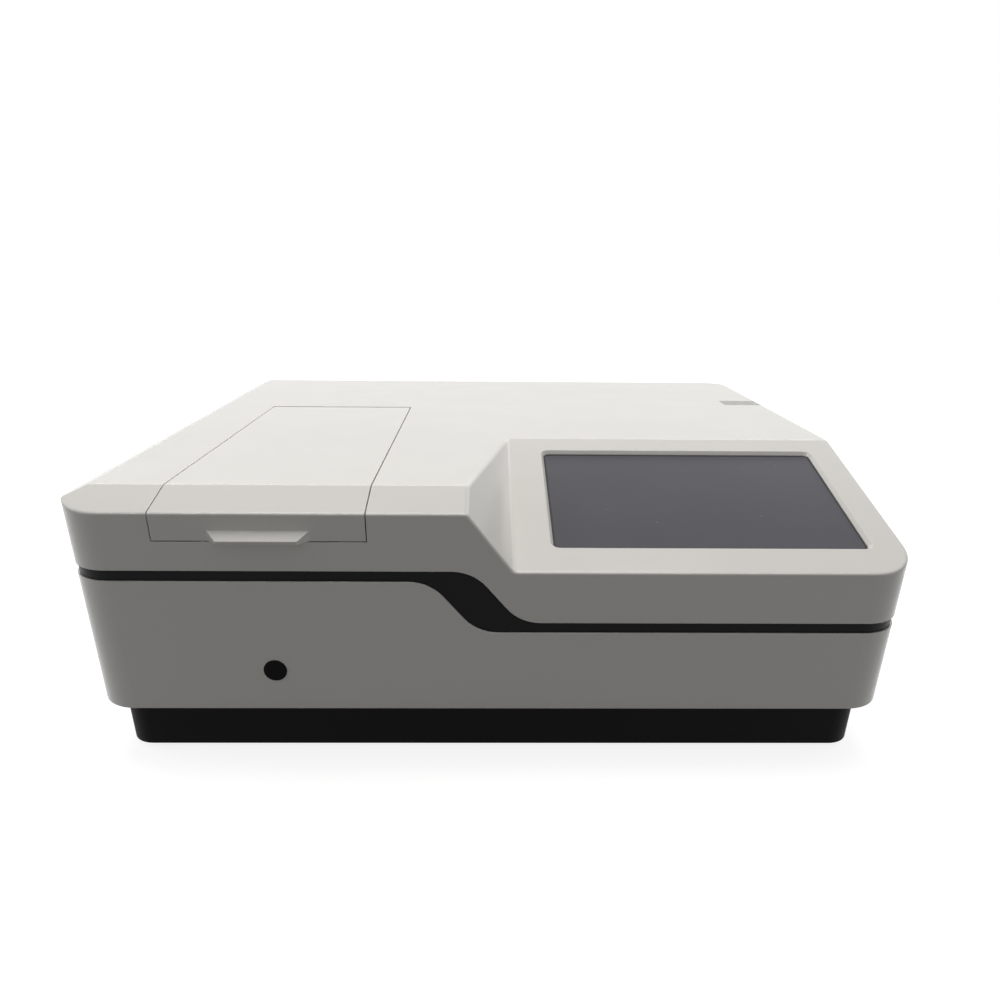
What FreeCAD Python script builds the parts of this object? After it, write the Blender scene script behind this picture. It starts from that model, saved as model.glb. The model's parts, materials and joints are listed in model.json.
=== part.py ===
"""Double beam spectrophotometer, in millimetres.

Frame: +X to the right of the person at the instrument, +Y to its rear, +Z up.
The origin is on the table, under the centre of the overall box.
"""
import FreeCAD, Part

import math
import os
import re

import Sketcher

Vector = FreeCAD.Vector

# Driving dimensions, in millimetres and degrees
SIZES = {
    # Casing outline, with the lean of the top along its left side
    "body_width": 584, "body_depth": 486, "shell_height": 158.9, "casing_wall": 3,
    "front_corner": 32, "rear_corner": 22, "least_corner": 1, "edge_round": 2.4, "crease_round": 5,
    "lean_width": 15, "lean_angle": 21.8, "lip_reach": 7, "rear_reach": 2,
    # Two front slopes of one pitch and the facet between them
    "slope_angle": 16.2, "left_drop": 9.5, "right_drop": 50.7, "facet_side": 278.7, "facet_width": 31.6,
    # Trim band with its S-curve
    "band_depth": 50.1, "band_step": 38.6, "band_height": 7.9, "band_recess": 1.2,
    "bend_angle": 50, "bend_radius": 31, "bend_side": 306.5, "bend_shift": 29.5,
    # Plinth tray and feet
    "foot_height": 6.8, "foot_radius": 11, "foot_inset": 48, "foot_screw_radius": 2,
    "foot_screw_fit": 0.05, "foot_screw_head": 4, "screw_head_height": 2, "nut_radius": 3.6,
    "nut_height": 2,
    "plinth_height": 39.8, "plinth_side_set": 13, "plinth_end_set": 12, "tray_wall": 2,
    "flange_reach": 24,
    # Front port and its plug
    "port_side": 137, "port_drop": 126.9, "port_radius": 8.2, "port_flange": 2.4,
    "plug_face": 0.6, "plug_play": 0.1, "plug_catch": 0.8, "catch_length": 2,
    # Sample lid
    "lid_side": 137, "lid_width": 142, "lid_length": 309.5, "lid_gap": 0.8,
    "flap_drop": 28.5, "flap_return": 10, "flap_clear": 2,
    "lip_width": 68, "lip_height": 7.5, "lip_tip_width": 53, "lip_tip_height": 2.2,
    "ledge_depth": 15.5, "ledge_thick": 2.5, "skirt_clear": 0.3,
    "lid_rib": 1.6, "rib_rise": 3, "rib_share": 0.33,
    # Lid hinge and seal
    "pin_inset": 6, "pin_drop": 6, "pin_radius": 1.25, "pin_fit": 0.06, "hinge_clear": 0.3,
    "heel_drop": 5, "knuckle_radius": 4, "knuckle_width": 9, "bracket_head": 2.7,
    "tail_share": 0.7, "bracket_width": 6, "bracket_inset": 14,
    "seal_width": 5, "seal_height": 3, "seal_inset": 1,
    # Sample compartment
    "tub_width": 124, "tub_front": 24, "tub_length": 262, "tub_wall": 2, "tub_corner": 4,
    "front_beam": 95, "rear_beam": 195, "window_radius": 9, "window_thick": 2, "window_fit": 0.1,
    "plate_thick": 4, "plate_margin": 12, "plate_end": 34, "plate_corner": 3,
    "cell_size": 12.5, "cell_play": 0.5, "cell_depth": 35, "beam_over_cell": 15,
    "holder_width": 30, "holder_corner": 2, "holder_foot_reach": 5, "holder_foot_half": 8,
    "holder_foot_thick": 4, "slot_width": 8, "slot_rise": 3, "slot_end": 8, "front_slot": 14,
    # Screen
    "screen_side": 25.5, "screen_width": 223.6, "screen_low": 30.4, "screen_height": 128.6,
    "screen_corner": 4, "bevel_width": 3, "glass_margin": 5, "glass_thick": 2, "glass_corner": 2,
    "module_inset": 1, "module_thick": 6, "frame_thick": 1.5, "frame_margin": 12, "frame_corner": 3,
    "boss_radius": 4, "board_thick": 1.6, "board_corner": 2, "board_sink": 0.1, "board_spacer": 6,
    "spacer_radius": 2.5, "spacer_inset": 6, "display_board_width": 120, "display_board_depth": 80,
    "display_chip_first": 40, "display_chip_pitch": 32, "display_chip_height": 2.5,
    # Vent slots at the right edge
    "vent_first": 150, "vent_pitch": 3.4, "vent_width": 1.7, "vent_count": 7, "vent_reach": 41,
    "vent_fall": 24,
    # Optical bench
    "bench_lift": 60, "bench_thick": 10, "bench_gap": 20, "bench_front": 20, "bench_rear": 20,
    "bench_step": 185, "bench_notch": 230, "bench_corner": 8, "mount_radius": 10, "mount_inset": 40,
    "beam_rise": 50,
    # Lamp house and lamps
    "lamp_side": 87, "lamp_row": 140, "house_side": 16, "house_width": 94, "house_front": 195,
    "house_rear": 85, "house_height": 105, "house_corner": 3, "sheet_wall": 1.5, "light_port": 8,
    "house_slot": 4, "house_slot_first": 14, "house_slot_pitch": 12, "house_slot_count": 6,
    "lamp_radius": 12, "lamp_height": 46, "lamp_round": 4, "halogen_side": 42, "mirror_row": 233,
    "socket_radius": 14, "socket_height": 12, "lamp_neck": 5,
    # Source mirror and motors
    "source_mirror_size": 24, "mirror_thick": 4, "source_turn": 45, "motor_shaft": 2.5,
    "motor_size": 42, "motor_height": 34, "motor_corner": 5, "shaft_fit": 0.06, "shaft_room": 1,
    "hub_radius": 7, "hub_height": 8,
    # Filter wheel
    "wheel_side": 152, "wheel_radius": 28, "wheel_thick": 3, "wheel_hub": 6, "wheel_hub_rise": 2,
    "wheel_shaft": 1.5, "wheel_gap": 3, "filter_ring": 20, "filter_radius": 6, "filter_play": 0.05,
    "filter_count": 6, "wheel_motor_radius": 12, "wheel_motor_length": 22, "bracket_thick": 3,
    "bracket_edge": 3, "bracket_corner": 2, "part_clear": 0.3,
    # Monochromator
    "slit_width": 34, "slit_height": 66, "slit_thick": 2, "slit_gap": 1, "slit_tall": 14,
    "slit_foot": 14, "slit_foot_set": 6, "slit_row": 185, "entry_x": 90, "exit_x": -40,
    "mirror_line": 37, "collimator_x": 74, "focuser_x": -16, "round_mirror": 21, "round_thick": 9,
    "mirror_curve": 160, "mirror_sag": 1.4, "mirror_rim": 2, "carrier_thick": 3, "carrier_foot": 8,
    "collimator_turn": 12, "focuser_turn": -12,
    # Grating, its turntable and gears
    "grating_x": 28, "grating_row": 155, "grating_size": 30, "grating_thick": 8,
    "table_radius": 16, "table_neck": 9.6, "table_thick": 4, "gear_teeth": 60, "pinion_teeth": 15,
    "tooth_pitch_radius": 30, "tooth_depth": 2, "tooth_share": 0.36, "tooth_foot": 0.7,
    "tooth_tip": 0.32, "root_gap": 0.1, "gear_thick": 5, "gear_clear": 0.35, "table_shaft": 5,
    "bearing_radius": 11, "bearing_thick": 7,
    # Beam switching
    "fold_size": 30, "fold_turn": 45, "splitter_thick": 2, "post_width": 14, "post_thick": 8,
    "post_foot": 16, "post_foot_thick": 4, "post_corner": 2, "stand_edge": 2, "stand_thick": 3,
    "stand_bore": 12,
    # Lenses, detectors and preamplifier board
    "lens_side": 63, "lens_radius": 11, "lens_blank": 13.75, "lens_thick": 5, "lens_rim": 4,
    "ring_thick": 3, "ring_corner": 3, "ring_foot": 9, "detector_side": 36, "detector_radius": 14,
    "detector_length": 26, "detector_post": 8, "post_inset": 4, "detector_foot": 15,
    "detector_foot_thick": 4, "detector_window": 6, "detector_well": 3,
    "preamp_width": 90, "preamp_height": 40, "preamp_chip_first": 20, "preamp_chip_pitch": 15,
    "preamp_chip_width": 10, "preamp_chip_half": 6, "preamp_chip_height": 2,
    # Rear panel
    "panel_side": 34, "panel_width": 186, "panel_low": 10, "panel_height": 83, "panel_corner": 3,
    "panel_lap": 6, "panel_thick": 1.5, "rear_axis_rise": 50, "cutout_play": 0.2,
    # Mains inlet, its blades and fuse drawer
    "inlet_side": 67, "inlet_width": 48, "inlet_height": 60, "inlet_depth": 30, "inlet_corner": 4,
    "inlet_body_side": 4, "inlet_body_end": 3, "inlet_body_corner": 2, "socket_rise": 18,
    "socket_wide": 24.5, "socket_tall": 16.5, "socket_deep": 17, "socket_corner": 3,
    "blade_thick": 2, "blade_tall": 4, "blade_side": 7, "blade_rise": 2, "earth_rise": 3,
    "blade_short": 3, "fuse_rise": 5.4, "fuse_width": 22, "fuse_tall": 5, "fuse_depth": 22,
    "fuse_play": 0.2, "grip_half": 4, "grip_low": 1.3, "grip_depth": 2,
    # Rocker switch
    "rocker_drop": 13.5, "rocker_width": 19, "rocker_height": 13, "rocker_turn": 9,
    "rocker_side_play": 0.4, "rocker_end_play": 0.7, "rocker_well": 9.4, "rocker_sink": 3.2,
    "rocker_pin": 1, "rocker_pin_reach": 1.6, "rocker_depth": 4, "rocker_crest": 1.2,
    "rocker_dip": 0.4, "rocker_trim": 0.3,
    # Data sockets
    "data_side": 108, "data_depth": 12, "data_corner": 1, "data_wall": 0.6, "data_well": 8,
    "tongue_share": 0.7, "tongue_length": 8.5,
    # Fan and its guard
    "fan_side": 167, "fan_size": 80, "fan_depth": 25, "fan_corner": 5, "fan_bore": 38, "fan_hub": 17,
    "fan_seat": 14, "fan_bar": 3, "fan_bar_half": 2, "fan_shaft": 2, "fan_shaft_length": 4.2,
    "rotor_front": 3, "rotor_gap": 4, "fan_blades": 7, "blade_reach": 11, "blade_clear": 1.2,
    "root_start": 5, "root_thick": 1.6, "root_half": 6, "root_end": 7.6, "tip_start": 8,
    "tip_thick": 1.4, "tip_fall": 2, "tip_end": 10.4, "guard_ring": 4.4, "guard_first": 2,
    "guard_rib": 1.4, "guard_bar": 3, "guard_count": 4, "guard_turn": 45,
    # Power supply
    "supply_side": 40, "supply_width": 160, "supply_rear": 55, "supply_depth": 105,
    "supply_height": 45, "supply_corner": 2, "terminal_step": 14, "terminal_first": 12,
    "terminal_pitch": 9, "terminal_width": 7, "terminal_front": 2, "terminal_deep": 10,
    "terminal_tall": 8, "terminal_count": 5, "supply_slot": 4, "supply_slot_first": 20,
    "supply_slot_pitch": 16, "supply_slot_low": 10, "supply_slot_top": 8, "supply_slot_count": 8,
    # Main board
    "main_left": 0, "main_front": 60, "main_clear": 10, "main_depth": 170, "main_corner": 3,
    "main_spacer": 6, "leg_inset": 8, "leg_radius": 3,
    # Margins: a cut runs over its face by the first, a joined block sinks in by the second,
    # and a sweep starts and ends outside the casing by the third
    "over": 1, "sink": 0.5, "outside": 30,
}

# Places worked out from the driving dimensions
PLACES = {
    "front": "(lip_reach - rear_reach - body_depth)/2",
    "back": "front + body_depth",
    "side": "body_width/2",
    "seam": "foot_height + plinth_height",
    "top": "seam + shell_height",
    "tray_floor": "foot_height + tray_wall",
    # Slopes, facet, band and screen, from the right side
    "facet_right": "side - facet_side",
    "facet_left": "facet_right - facet_width",
    "bend_place": "side - bend_side",
    "screen_right": "side - screen_side",
    "screen_left": "screen_right - screen_width",
    "screen_high": "screen_low + screen_height",
    "glass_low": "-casing_wall - glass_thick",
    "module_low": "glass_low - module_thick",
    "metal_low": "module_low - frame_thick",
    "boss_left": "screen_left - frame_margin",
    "boss_right": "screen_right + frame_margin",
    "boss_low": "screen_low + frame_margin",
    "boss_high": "screen_high - frame_margin",
    "board_x": "screen_left + screen_width/2",
    "board_y": "screen_low + screen_height/2",
    "board_low": "metal_low - board_spacer - board_thick",
    # Lid and compartment, from the left side
    "port_x": "port_side - side",
    "lid_centre": "lid_side - side",
    "lid_left": "lid_centre - lid_width/2",
    "lid_right": "lid_centre + lid_width/2",
    "lid_rear": "front + lid_length",
    "flap_low": "top - flap_drop",
    "ledge": "top - ledge_depth",
    "hinge_y": "lid_rear - pin_inset",
    "hinge_z": "top - pin_drop",
    "recess_rear": "hinge_y + sqrt(pin_inset^2 + pin_drop^2) + hinge_clear",
    "step_y": "front + flap_return + flap_clear",
    "bracket_left": "lid_left + bracket_inset",
    "bracket_right": "lid_right - bracket_inset - bracket_width",
    "knuckle_left": "bracket_left + bracket_width + part_clear",
    "knuckle_right": "bracket_right - part_clear - knuckle_width",
    "tub_left": "lid_centre - tub_width/2",
    "tub_right": "lid_centre + tub_width/2",
    "tub_near": "front + tub_front",
    "tub_far": "tub_near + tub_length",
    "front_row": "front + front_beam",
    "rear_row": "front + rear_beam",
    # Bench and what stands on it
    "bench_low": "tray_floor + bench_lift",
    "bench": "bench_low + bench_thick",
    "beam": "bench + beam_rise",
    "bench_side": "side - bench_gap",
    "bench_near": "front + bench_front",
    "bench_far": "back - bench_rear",
    "bench_back": "back - bench_step",
    "bench_left": "bench_notch - side",
    "cell_floor": "beam - beam_over_cell",
    "plate_low": "bench + tub_wall",
    "plate_top": "plate_low + plate_thick",
    "lamp_x": "side - lamp_side",
    "lamp_y": "back - lamp_row",
    "lamp_low": "beam - lamp_height/2",
    "halogen_x": "side - halogen_side",
    "house_right": "side - house_side",
    "house_left": "house_right - house_width",
    "house_near": "back - house_front",
    "house_far": "back - house_rear",
    "house_top": "bench + house_height",
    "mirror_y": "back - mirror_row",
    "shaft_low": "bench_low - motor_height/3",
    "wheel_x": "side - wheel_side",
    "wheel_foot": "bench - beam - filter_ring",
    "slit_y": "back - slit_row",
    "dish_y": "back - mirror_line",
    "grating_y": "back - grating_row",
    "pinion_radius": "tooth_pitch_radius*pinion_teeth/gear_teeth",
    "pinion_x": "grating_x + tooth_pitch_radius + pinion_radius + gear_clear",
    "gear_low": "bearing_thick + part_clear",
    "lens_x": "lens_side - side",
    "lens_curve": "lens_blank^2/lens_thick + lens_thick/4",
    "detector_x": "detector_side - side",
    # Rear, from the left side
    "rear_axis": "seam + rear_axis_rise",
    "panel_left": "panel_side - side",
    "panel_right": "panel_left + panel_width",
    "panel_base": "seam + panel_low",
    "panel_high": "panel_base + panel_height",
    "panel_y": "back - casing_wall - panel_thick",
    "inlet_x": "inlet_side - side",
    "socket_z": "socket_rise - inlet_height/2",
    "rocker_z": "inlet_height/2 - rocker_drop",
    "fuse_z": "fuse_rise - inlet_height/2",
    "data_x": "data_side - side",
    "fan_x": "fan_side - side",
    "blade_tip": "sqrt((fan_bore - blade_clear)^2 - blade_reach^2)",
    "supply_x": "supply_side - side",
    "main_width": "bench_side - mount_inset - mount_radius - main_clear - main_left",
}

doc = FreeCAD.newDocument("spectrophotometer")
sheet = doc.addObject("Spreadsheet::Sheet", "Sizes")
for column, cells_of in (("A", SIZES), ("B", PLACES)):
    for row, (alias, content) in enumerate(cells_of.items(), start=1):
        sheet.set(f"{column}{row}", str(content) if column == "A" else f"={content}")
        sheet.setAlias(f"{column}{row}", alias)
doc.recompute()

ALIASES = re.compile(r"\b(" + "|".join([*SIZES, *PLACES]) + r")\b")
UP = Vector(0, 0, 1)
ACROSS = Vector(1, 0, 0)
pieces = {}


def cells(formula):
    """Write a formula of size names as one that reads the spreadsheet."""
    return ALIASES.sub(r"Sizes.\1", str(formula))


def value(formula):
    """Number that a formula of size names has now."""
    return float(sheet.evalExpression(cells(formula)))


def bind(thing, prop, formula):
    """Tie one property of an object to the spreadsheet."""
    thing.setExpression(prop, cells(formula))


def keep(thing, name):
    """Name a finished piece: its Label names its file."""
    thing.Label = name
    pieces[name] = thing
    return thing


def place(thing, x=0, y=0, z=0, axis=None, angle=0):
    """Put an object at a point, turned about one axis, all tied to the sizes."""
    if axis is not None:
        thing.Placement = FreeCAD.Placement(Vector(), FreeCAD.Rotation(axis, value(angle)))
        bind(thing, "Placement.Rotation.Angle", angle)
    for letter, formula in zip("xyz", (x, y, z)):
        bind(thing, f"Placement.Base.{letter}", formula)
    return thing


def box(x0, x1, y0, y1, z0, z1):
    """Upright block between two corners."""
    block = doc.addObject("Part::Box", "Block")
    spans = (("Length", x0, x1), ("Width", y0, y1), ("Height", z0, z1))
    for prop, low, high in spans:
        bind(block, prop, f"({high}) - ({low})")
    return place(block, x0, y0, z0)


def fuse(*things):
    """Join objects into one shape."""
    joined = doc.addObject("Part::MultiFuse", "Joined")
    joined.Shapes = list(things)
    return joined


def group(*things):
    """Gather separate solids in one shape."""
    gathered = doc.addObject("Part::Compound", "Gathered")
    gathered.Links = list(things)
    return gathered


def cut(base, *tools):
    """Take tools away from a base."""
    left = doc.addObject("Part::Cut", "Trimmed")
    left.Base = base
    left.Tool = tools[0] if len(tools) == 1 else fuse(*tools)
    return left


def common(first, second):
    """Keep what two objects share."""
    shared = doc.addObject("Part::MultiCommon", "Shared")
    shared.Shapes = [first, second]
    return shared


def rectangle(x0, x1, y0, y1, radius=None):
    """Corners of a rectangle, all with one radius."""
    return [(x0, y0, radius), (x1, y0, radius), (x1, y1, radius), (x0, y1, radius)]


def centred(half_width, half_height, radius=None):
    """Corners of a rectangle about the origin."""
    return rectangle(f"-({half_width})", half_width, f"-({half_height})", half_height, radius)


def widened(x, half_width, y0, y1, radius=None):
    """Corners of a rectangle that reaches equally far to both sides of a line."""
    return rectangle(f"{x} - ({half_width})", f"{x} + {half_width}", y0, y1, radius)


class Sketch:
    """Closed outlines on one origin plane of a body, each point tied to the sizes."""

    PLANES = {"X": ("YZ_Plane", 1), "Y": ("XZ_Plane", -1), "Z": ("XY_Plane", 1)}

    def __init__(self, body, axis, level):
        role, self.sense = self.PLANES[axis]
        origin = {feature.Role: feature for feature in body.Origin.OriginFeatures}
        self.drawing = body.newObject("Sketcher::SketchObject", "Outline")
        self.drawing.AttachmentSupport = [(origin[role], "")]
        self.drawing.MapMode = "FlatFace"
        bind(self.drawing, "AttachmentOffset.Base.z", f"{self.sense}*({level})")

    def fix(self, kind, *items, formula):
        """Add one dimension and tie it to its formula."""
        number = self.drawing.addConstraint(Sketcher.Constraint(kind, *items, value(formula)))
        bind(self.drawing, f"Constraints[{number}]", formula)

    def fix_point(self, item, end, x, y):
        """Dimension a point from the sketch's origin."""
        self.fix("DistanceX", -1, 1, item, end, formula=x)
        self.fix("DistanceY", -1, 1, item, end, formula=y)

    def circle(self, x, y, radius):
        """Full circle about a dimensioned centre."""
        middle = Vector(value(x), value(y), 0)
        item = self.drawing.addGeometry(Part.Circle(middle, UP, value(radius)))
        self.fix_point(item, 3, x, y)
        self.fix("Radius", item, formula=radius)

    def arc(self, before, point, after, radius):
        """Arc that rounds a corner: its ends, its curve and which of its ends comes first."""
        back, on = (before - point).normalize(), (after - point).normalize()
        half = back.getAngle(on)/2
        start, end = point + back*(radius/math.tan(half)), point + on*(radius/math.tan(half))
        middle = point + (back + on).normalize()*(radius/math.sin(half))
        forward = back.cross(on).z < 0
        spots = [spot - middle for spot in (start, end)]
        angles = [math.atan2(spot.y, spot.x) for spot in (spots if forward else reversed(spots))]
        curve = Part.ArcOfCircle(Part.Circle(middle, UP, radius), *angles)
        return start, end, curve, (1, 2) if forward else (2, 1)

    def path(self, corners):
        """Closed path through corners (x, y) or (x, y, radius), rounded where a radius is given."""
        corners = [(tuple(corner) + (None,))[:3] for corner in corners]
        points = [Vector(value(x), value(y), 0) for x, y, _ in corners]
        count = len(points)
        ends = []
        for here, (point, corner) in enumerate(zip(points, corners)):
            if corner[2] is None:
                ends.append((point, point))
                continue
            ends.append(self.arc(points[here - 1], point, points[(here + 1) % count], value(corner[2])))
        lines = []
        for here in range(count):
            segment = Part.LineSegment(ends[here][1], ends[(here + 1) % count][0])
            lines.append(self.drawing.addGeometry(segment))
        for here, (x, y, radius) in enumerate(corners):
            before, after = lines[here - 1], lines[here]
            if radius is None:
                self.drawing.addConstraint(Sketcher.Constraint("Coincident", before, 2, after, 1))
                self.fix_point(after, 1, x, y)
                continue
            arc = self.drawing.addGeometry(ends[here][2])
            first, last = ends[here][3]
            self.drawing.addConstraint(Sketcher.Constraint("Tangent", before, 2, arc, first))
            self.drawing.addConstraint(Sketcher.Constraint("Tangent", arc, last, after, 1))
            tip = self.drawing.addGeometry(Part.Point(points[here]), True)
            self.drawing.addConstraint(Sketcher.Constraint("PointOnObject", tip, 1, before))
            self.drawing.addConstraint(Sketcher.Constraint("PointOnObject", tip, 1, after))
            self.fix_point(tip, 1, x, y)
            self.fix("Radius", arc, formula=radius)


class Piece:
    """A body built up from pads and pockets along its own axes."""

    def __init__(self, name=None, **where):
        self.body = doc.addObject("PartDesign::Body", name or "Form")
        if name:
            keep(self.body, name)
        if where:
            place(self.body, **where)

    def sketch(self, axis, level, draw):
        """Sketch across an axis at a level, drawn by a list of corners or a function."""
        outline = Sketch(self.body, axis, level)
        if callable(draw):
            draw(outline)
        else:
            outline.path(draw)
        return outline

    def feature(self, kind, outline, length, **options):
        """Pad or pocket that runs along the axis from the sketch."""
        made = self.body.newObject(f"PartDesign::{kind}", kind)
        made.Profile = outline.drawing
        bind(made, "Length", length)
        made.Reversed = (outline.sense > 0) == (kind == "Pocket")
        for prop, setting in options.items():
            setattr(made, prop, setting)
        return made

    def add(self, axis, draw, level, length):
        """Add a prism along an axis."""
        return self.feature("Pad", self.sketch(axis, level, draw), length)

    def cut(self, axis, draw, level, length):
        """Take a prism away along an axis."""
        return self.feature("Pocket", self.sketch(axis, level, draw), length)

    def add_round(self, axis, x, y, radius, level, length):
        """Add a cylinder along an axis."""
        return self.add(axis, lambda outline: outline.circle(x, y, radius), level, length)

    def cut_round(self, axis, x, y, radius, level, length):
        """Bore a round hole along an axis."""
        return self.cut(axis, lambda outline: outline.circle(x, y, radius), level, length)

    def cut_through(self, axis, draw, level, depth):
        """Open a wall of one depth, running over both its faces."""
        return self.cut(axis, draw, f"{level} - over", f"{depth} + 2*over")

    def bore(self, axis, x, y, radius, level, depth):
        """Bore through a wall of one depth, running over both its faces."""
        return self.cut_round(axis, x, y, radius, f"{level} - over", f"{depth} + 2*over")

    def loft(self, axis, sections):
        """Blend two outlines at two levels into one solid."""
        outlines = [self.sketch(axis, level, corners) for level, corners in sections]
        made = self.body.newObject("PartDesign::AdditiveLoft", "Loft")
        made.Profile = outlines[0].drawing
        made.Sections = [outline.drawing for outline in outlines[1:]]
        return made

    def round(self, radius, chosen):
        """Round the edges that a test picks."""
        doc.recompute()
        tip = self.body.Tip
        names = [f"Edge{number}" for number, edge in enumerate(tip.Shape.Edges, start=1) if chosen(edge)]
        made = self.body.newObject("PartDesign::Fillet", "Round")
        made.Base = (tip, names)
        bind(made, "Radius", radius)
        return made

    def turn_copies(self, feature, axis, count):
        """Repeat a feature round one of the body's own axes."""
        doc.recompute()
        origin = {item.Role: item for item in self.body.Origin.OriginFeatures}
        made = self.body.newObject("PartDesign::PolarPattern", "Ring")
        made.Originals = [feature]
        made.Axis = (origin[f"{axis}_Axis"], [""])
        made.Angle = 360
        bind(made, "Occurrences", count)
        self.body.Tip = made
        return made


# Casing


def plan(inset):
    """Plan outline of the casing, set in all round."""
    near = f"max(front_corner - ({inset}); least_corner)"
    far = f"max(rear_corner - ({inset}); least_corner)"
    corners = rectangle(f"{inset} - side", f"side - ({inset})", f"front + {inset}", f"back - ({inset})")
    return [(x, y, radius) for (x, y, _), radius in zip(corners, (near, near, far, far))]


def casing_form(wall, low):
    """Solid form of the casing: plan outline, stepped profile swept up the slope and left lean."""
    form = Piece()
    form.add("Z", plan(wall), low, f"top - ({wall}) - ({low})")
    fall = f"({wall})/cos(slope_angle)"
    shift = f"({wall})*tan(atan((right_drop - left_drop)/facet_width)/2)"
    left = f"top - left_drop - {fall}"
    right = f"top - right_drop - {fall}"
    stepped = [
        ("-side - outside", left), (f"facet_left - {shift}", left),
        (f"facet_right - {shift}", right), ("side + outside", right),
        ("side + outside", "top + outside"), ("-side - outside", "top + outside"),
    ]
    outline = form.sketch("Y", "front", stepped)
    slope = form.feature("Pocket", outline, "(right_drop + outside)/sin(slope_angle)",
                         UseCustomVector=True, AlongSketchNormal=False, Reversed=False)
    pitch = math.radians(value("slope_angle"))
    slope.Direction = Vector(0, math.cos(pitch), math.sin(pitch))
    bind(slope, "Direction.y", "cos(slope_angle)")
    bind(slope, "Direction.z", "sin(slope_angle)")
    lean = f"top - ({wall})/cos(lean_angle)"
    form.cut("Y", [
        ("lean_width - side + outside", f"{lean} + outside*tan(lean_angle)"),
        ("-side - outside", f"{lean} + outside*tan(lean_angle)"),
        ("-side - outside", f"{lean} - (lean_width + outside)*tan(lean_angle)"),
    ], "front - outside", "body_depth + 2*outside")
    return form


def split_prism(drop, shift, above):
    """Prism front to back above or below one S-curve of the trim band."""
    prism = Piece()
    left = f"top - band_depth - ({drop})"
    right = f"{left} - band_step"
    bend = f"bend_place - ({shift})"
    far = "top + outside" if above else "seam - outside"
    curve = [
        ("-side - outside", left), (bend, left, "bend_radius"),
        (f"{bend} + band_step/tan(bend_angle)", right, "bend_radius"), ("side + outside", right),
        ("side + outside", far), ("-side - outside", far),
    ]
    prism.add("Y", curve, "front - outside", "body_depth + 2*outside")
    return prism.body


def halfway(edge):
    """Point in the middle of an edge."""
    return edge.valueAt((edge.FirstParameter + edge.LastParameter)/2)


def upright(edge):
    """True for an edge along Z."""
    return max(edge.BoundBox.XLength, edge.BoundBox.YLength) < value("over")


def is_crease(edge):
    """True for the straight edges between the top, the slopes and the facet, inside the rim."""
    middle = halfway(edge)
    across = abs(middle.x) < value("side - lean_width - over")
    along = value("front + over") < middle.y < value("back - over")
    return isinstance(edge.Curve, Part.Line) and across and along and not upright(edge)


def on_top_rim(edge):
    """True for the edges round the top and the two slopes."""
    lowest = value("top - right_drop - over")
    return min(halfway(edge).z, edge.BoundBox.ZMin) > lowest and not upright(edge)


outer = casing_form("0", "seam")
outer.round("crease_round", is_crease)
outer.round("edge_round", on_top_rim)
outer = outer.body
inner = casing_form("casing_wall", "seam - over").body
above_band = split_prism("0", "0", True)
below_band = split_prism("band_height", "bend_shift", False)
shell_walls = cut(outer, inner)

# Lid recess, ledge and compartment opening


def lid_zone(side_gap, rear, floor, flap_depth, flap_floor):
    """Space of the lid: the flat part over the ledge and the flap down the front."""
    left = f"lid_left + {side_gap}"
    right = f"lid_right - ({side_gap})"
    flat = box(left, right, "front - over", rear, floor, "top + over")
    return fuse(flat, box(left, right, "front - over", flap_depth, flap_floor, "top + over"))


recess = lid_zone("0", "recess_rear", "ledge", "step_y", "flap_low - lid_gap")
recess_wall = lid_zone("-casing_wall", "recess_rear + casing_wall", "ledge - ledge_thick",
                       "step_y + ledge_thick", "flap_low - lid_gap - ledge_thick")
TUB_INSIDE = ("tub_left + tub_wall", "tub_right - tub_wall", "tub_near + tub_wall", "tub_far - tub_wall")
opening = box(*TUB_INSIDE, "ledge - ledge_thick - over", "top")

# Screen window, in a frame that lies on the right slope

PANEL = {"y": "front", "z": "top - right_drop", "axis": ACROSS, "angle": "slope_angle"}


def screen_outline(grow, radius):
    """Rounded outline of the screen window, grown all round."""
    return rectangle(f"screen_left - ({grow})", f"screen_right + {grow}", f"screen_low - ({grow})",
                     f"screen_high + {grow}", radius)


window = Piece(**PANEL)
bevelled = screen_outline("bevel_width", "screen_corner + bevel_width")
window.loft("Z", [("-casing_wall - sink", screen_outline("0", "screen_corner")), ("0", bevelled)])
window.loft("Z", [("0", bevelled), ("over", bevelled)])

bosses = Piece(**PANEL)
for x in ("boss_left", "boss_right"):
    for y in ("boss_low", "boss_high"):
        bosses.add_round("Z", x, y, "boss_radius", "module_low", "glass_thick + module_thick + sink")

vents = []
for number in range(SIZES["vent_count"]):
    row = f"back - vent_first + {number}*vent_pitch"
    vents.append(box("side - vent_reach", "side + over", row, f"{row} + vent_width",
                     "top - vent_fall", "top + over"))

upper = fuse(common(shell_walls, above_band), common(common(outer, recess_wall), above_band), bosses.body)
keep(cut(upper, recess, opening, window.body, *vents), "upper_shell")

# Trim band, set in from both shells

band_form = Piece()
band_form.add("Z", plan("band_recess"), "seam", "shell_height")
band_hollow = Piece()
band_hollow.add("Z", plan("band_recess + casing_wall"), "seam", "shell_height")
band_low = split_prism("band_height", "bend_shift", True)
band_high = split_prism("0", "0", False)
keep(common(cut(band_form.body, band_hollow.body), common(band_low, band_high)), "trim_band")

# Lower shell with its bottom flange, front port and rear window

PORT = ("port_x", "top - port_drop")
flange = Piece()
flange.add("Z", plan("casing_wall - sink"), "seam", "casing_wall")
flange.cut_through("Z", plan("flange_reach"), "seam", "casing_wall")
port = Piece()
port.add_round("Y", *PORT, "port_radius - port_flange", "front - over", "casing_wall + 2*over")
rear_window = Piece()
rear_window.add("Y", rectangle("panel_left", "panel_right", "panel_base", "panel_high", "panel_corner"),
                "back - casing_wall - over", "casing_wall + 2*over")
lower = fuse(common(shell_walls, below_band), flange.body)
keep(cut(lower, port.body, rear_window.body), "lower_shell")

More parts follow.
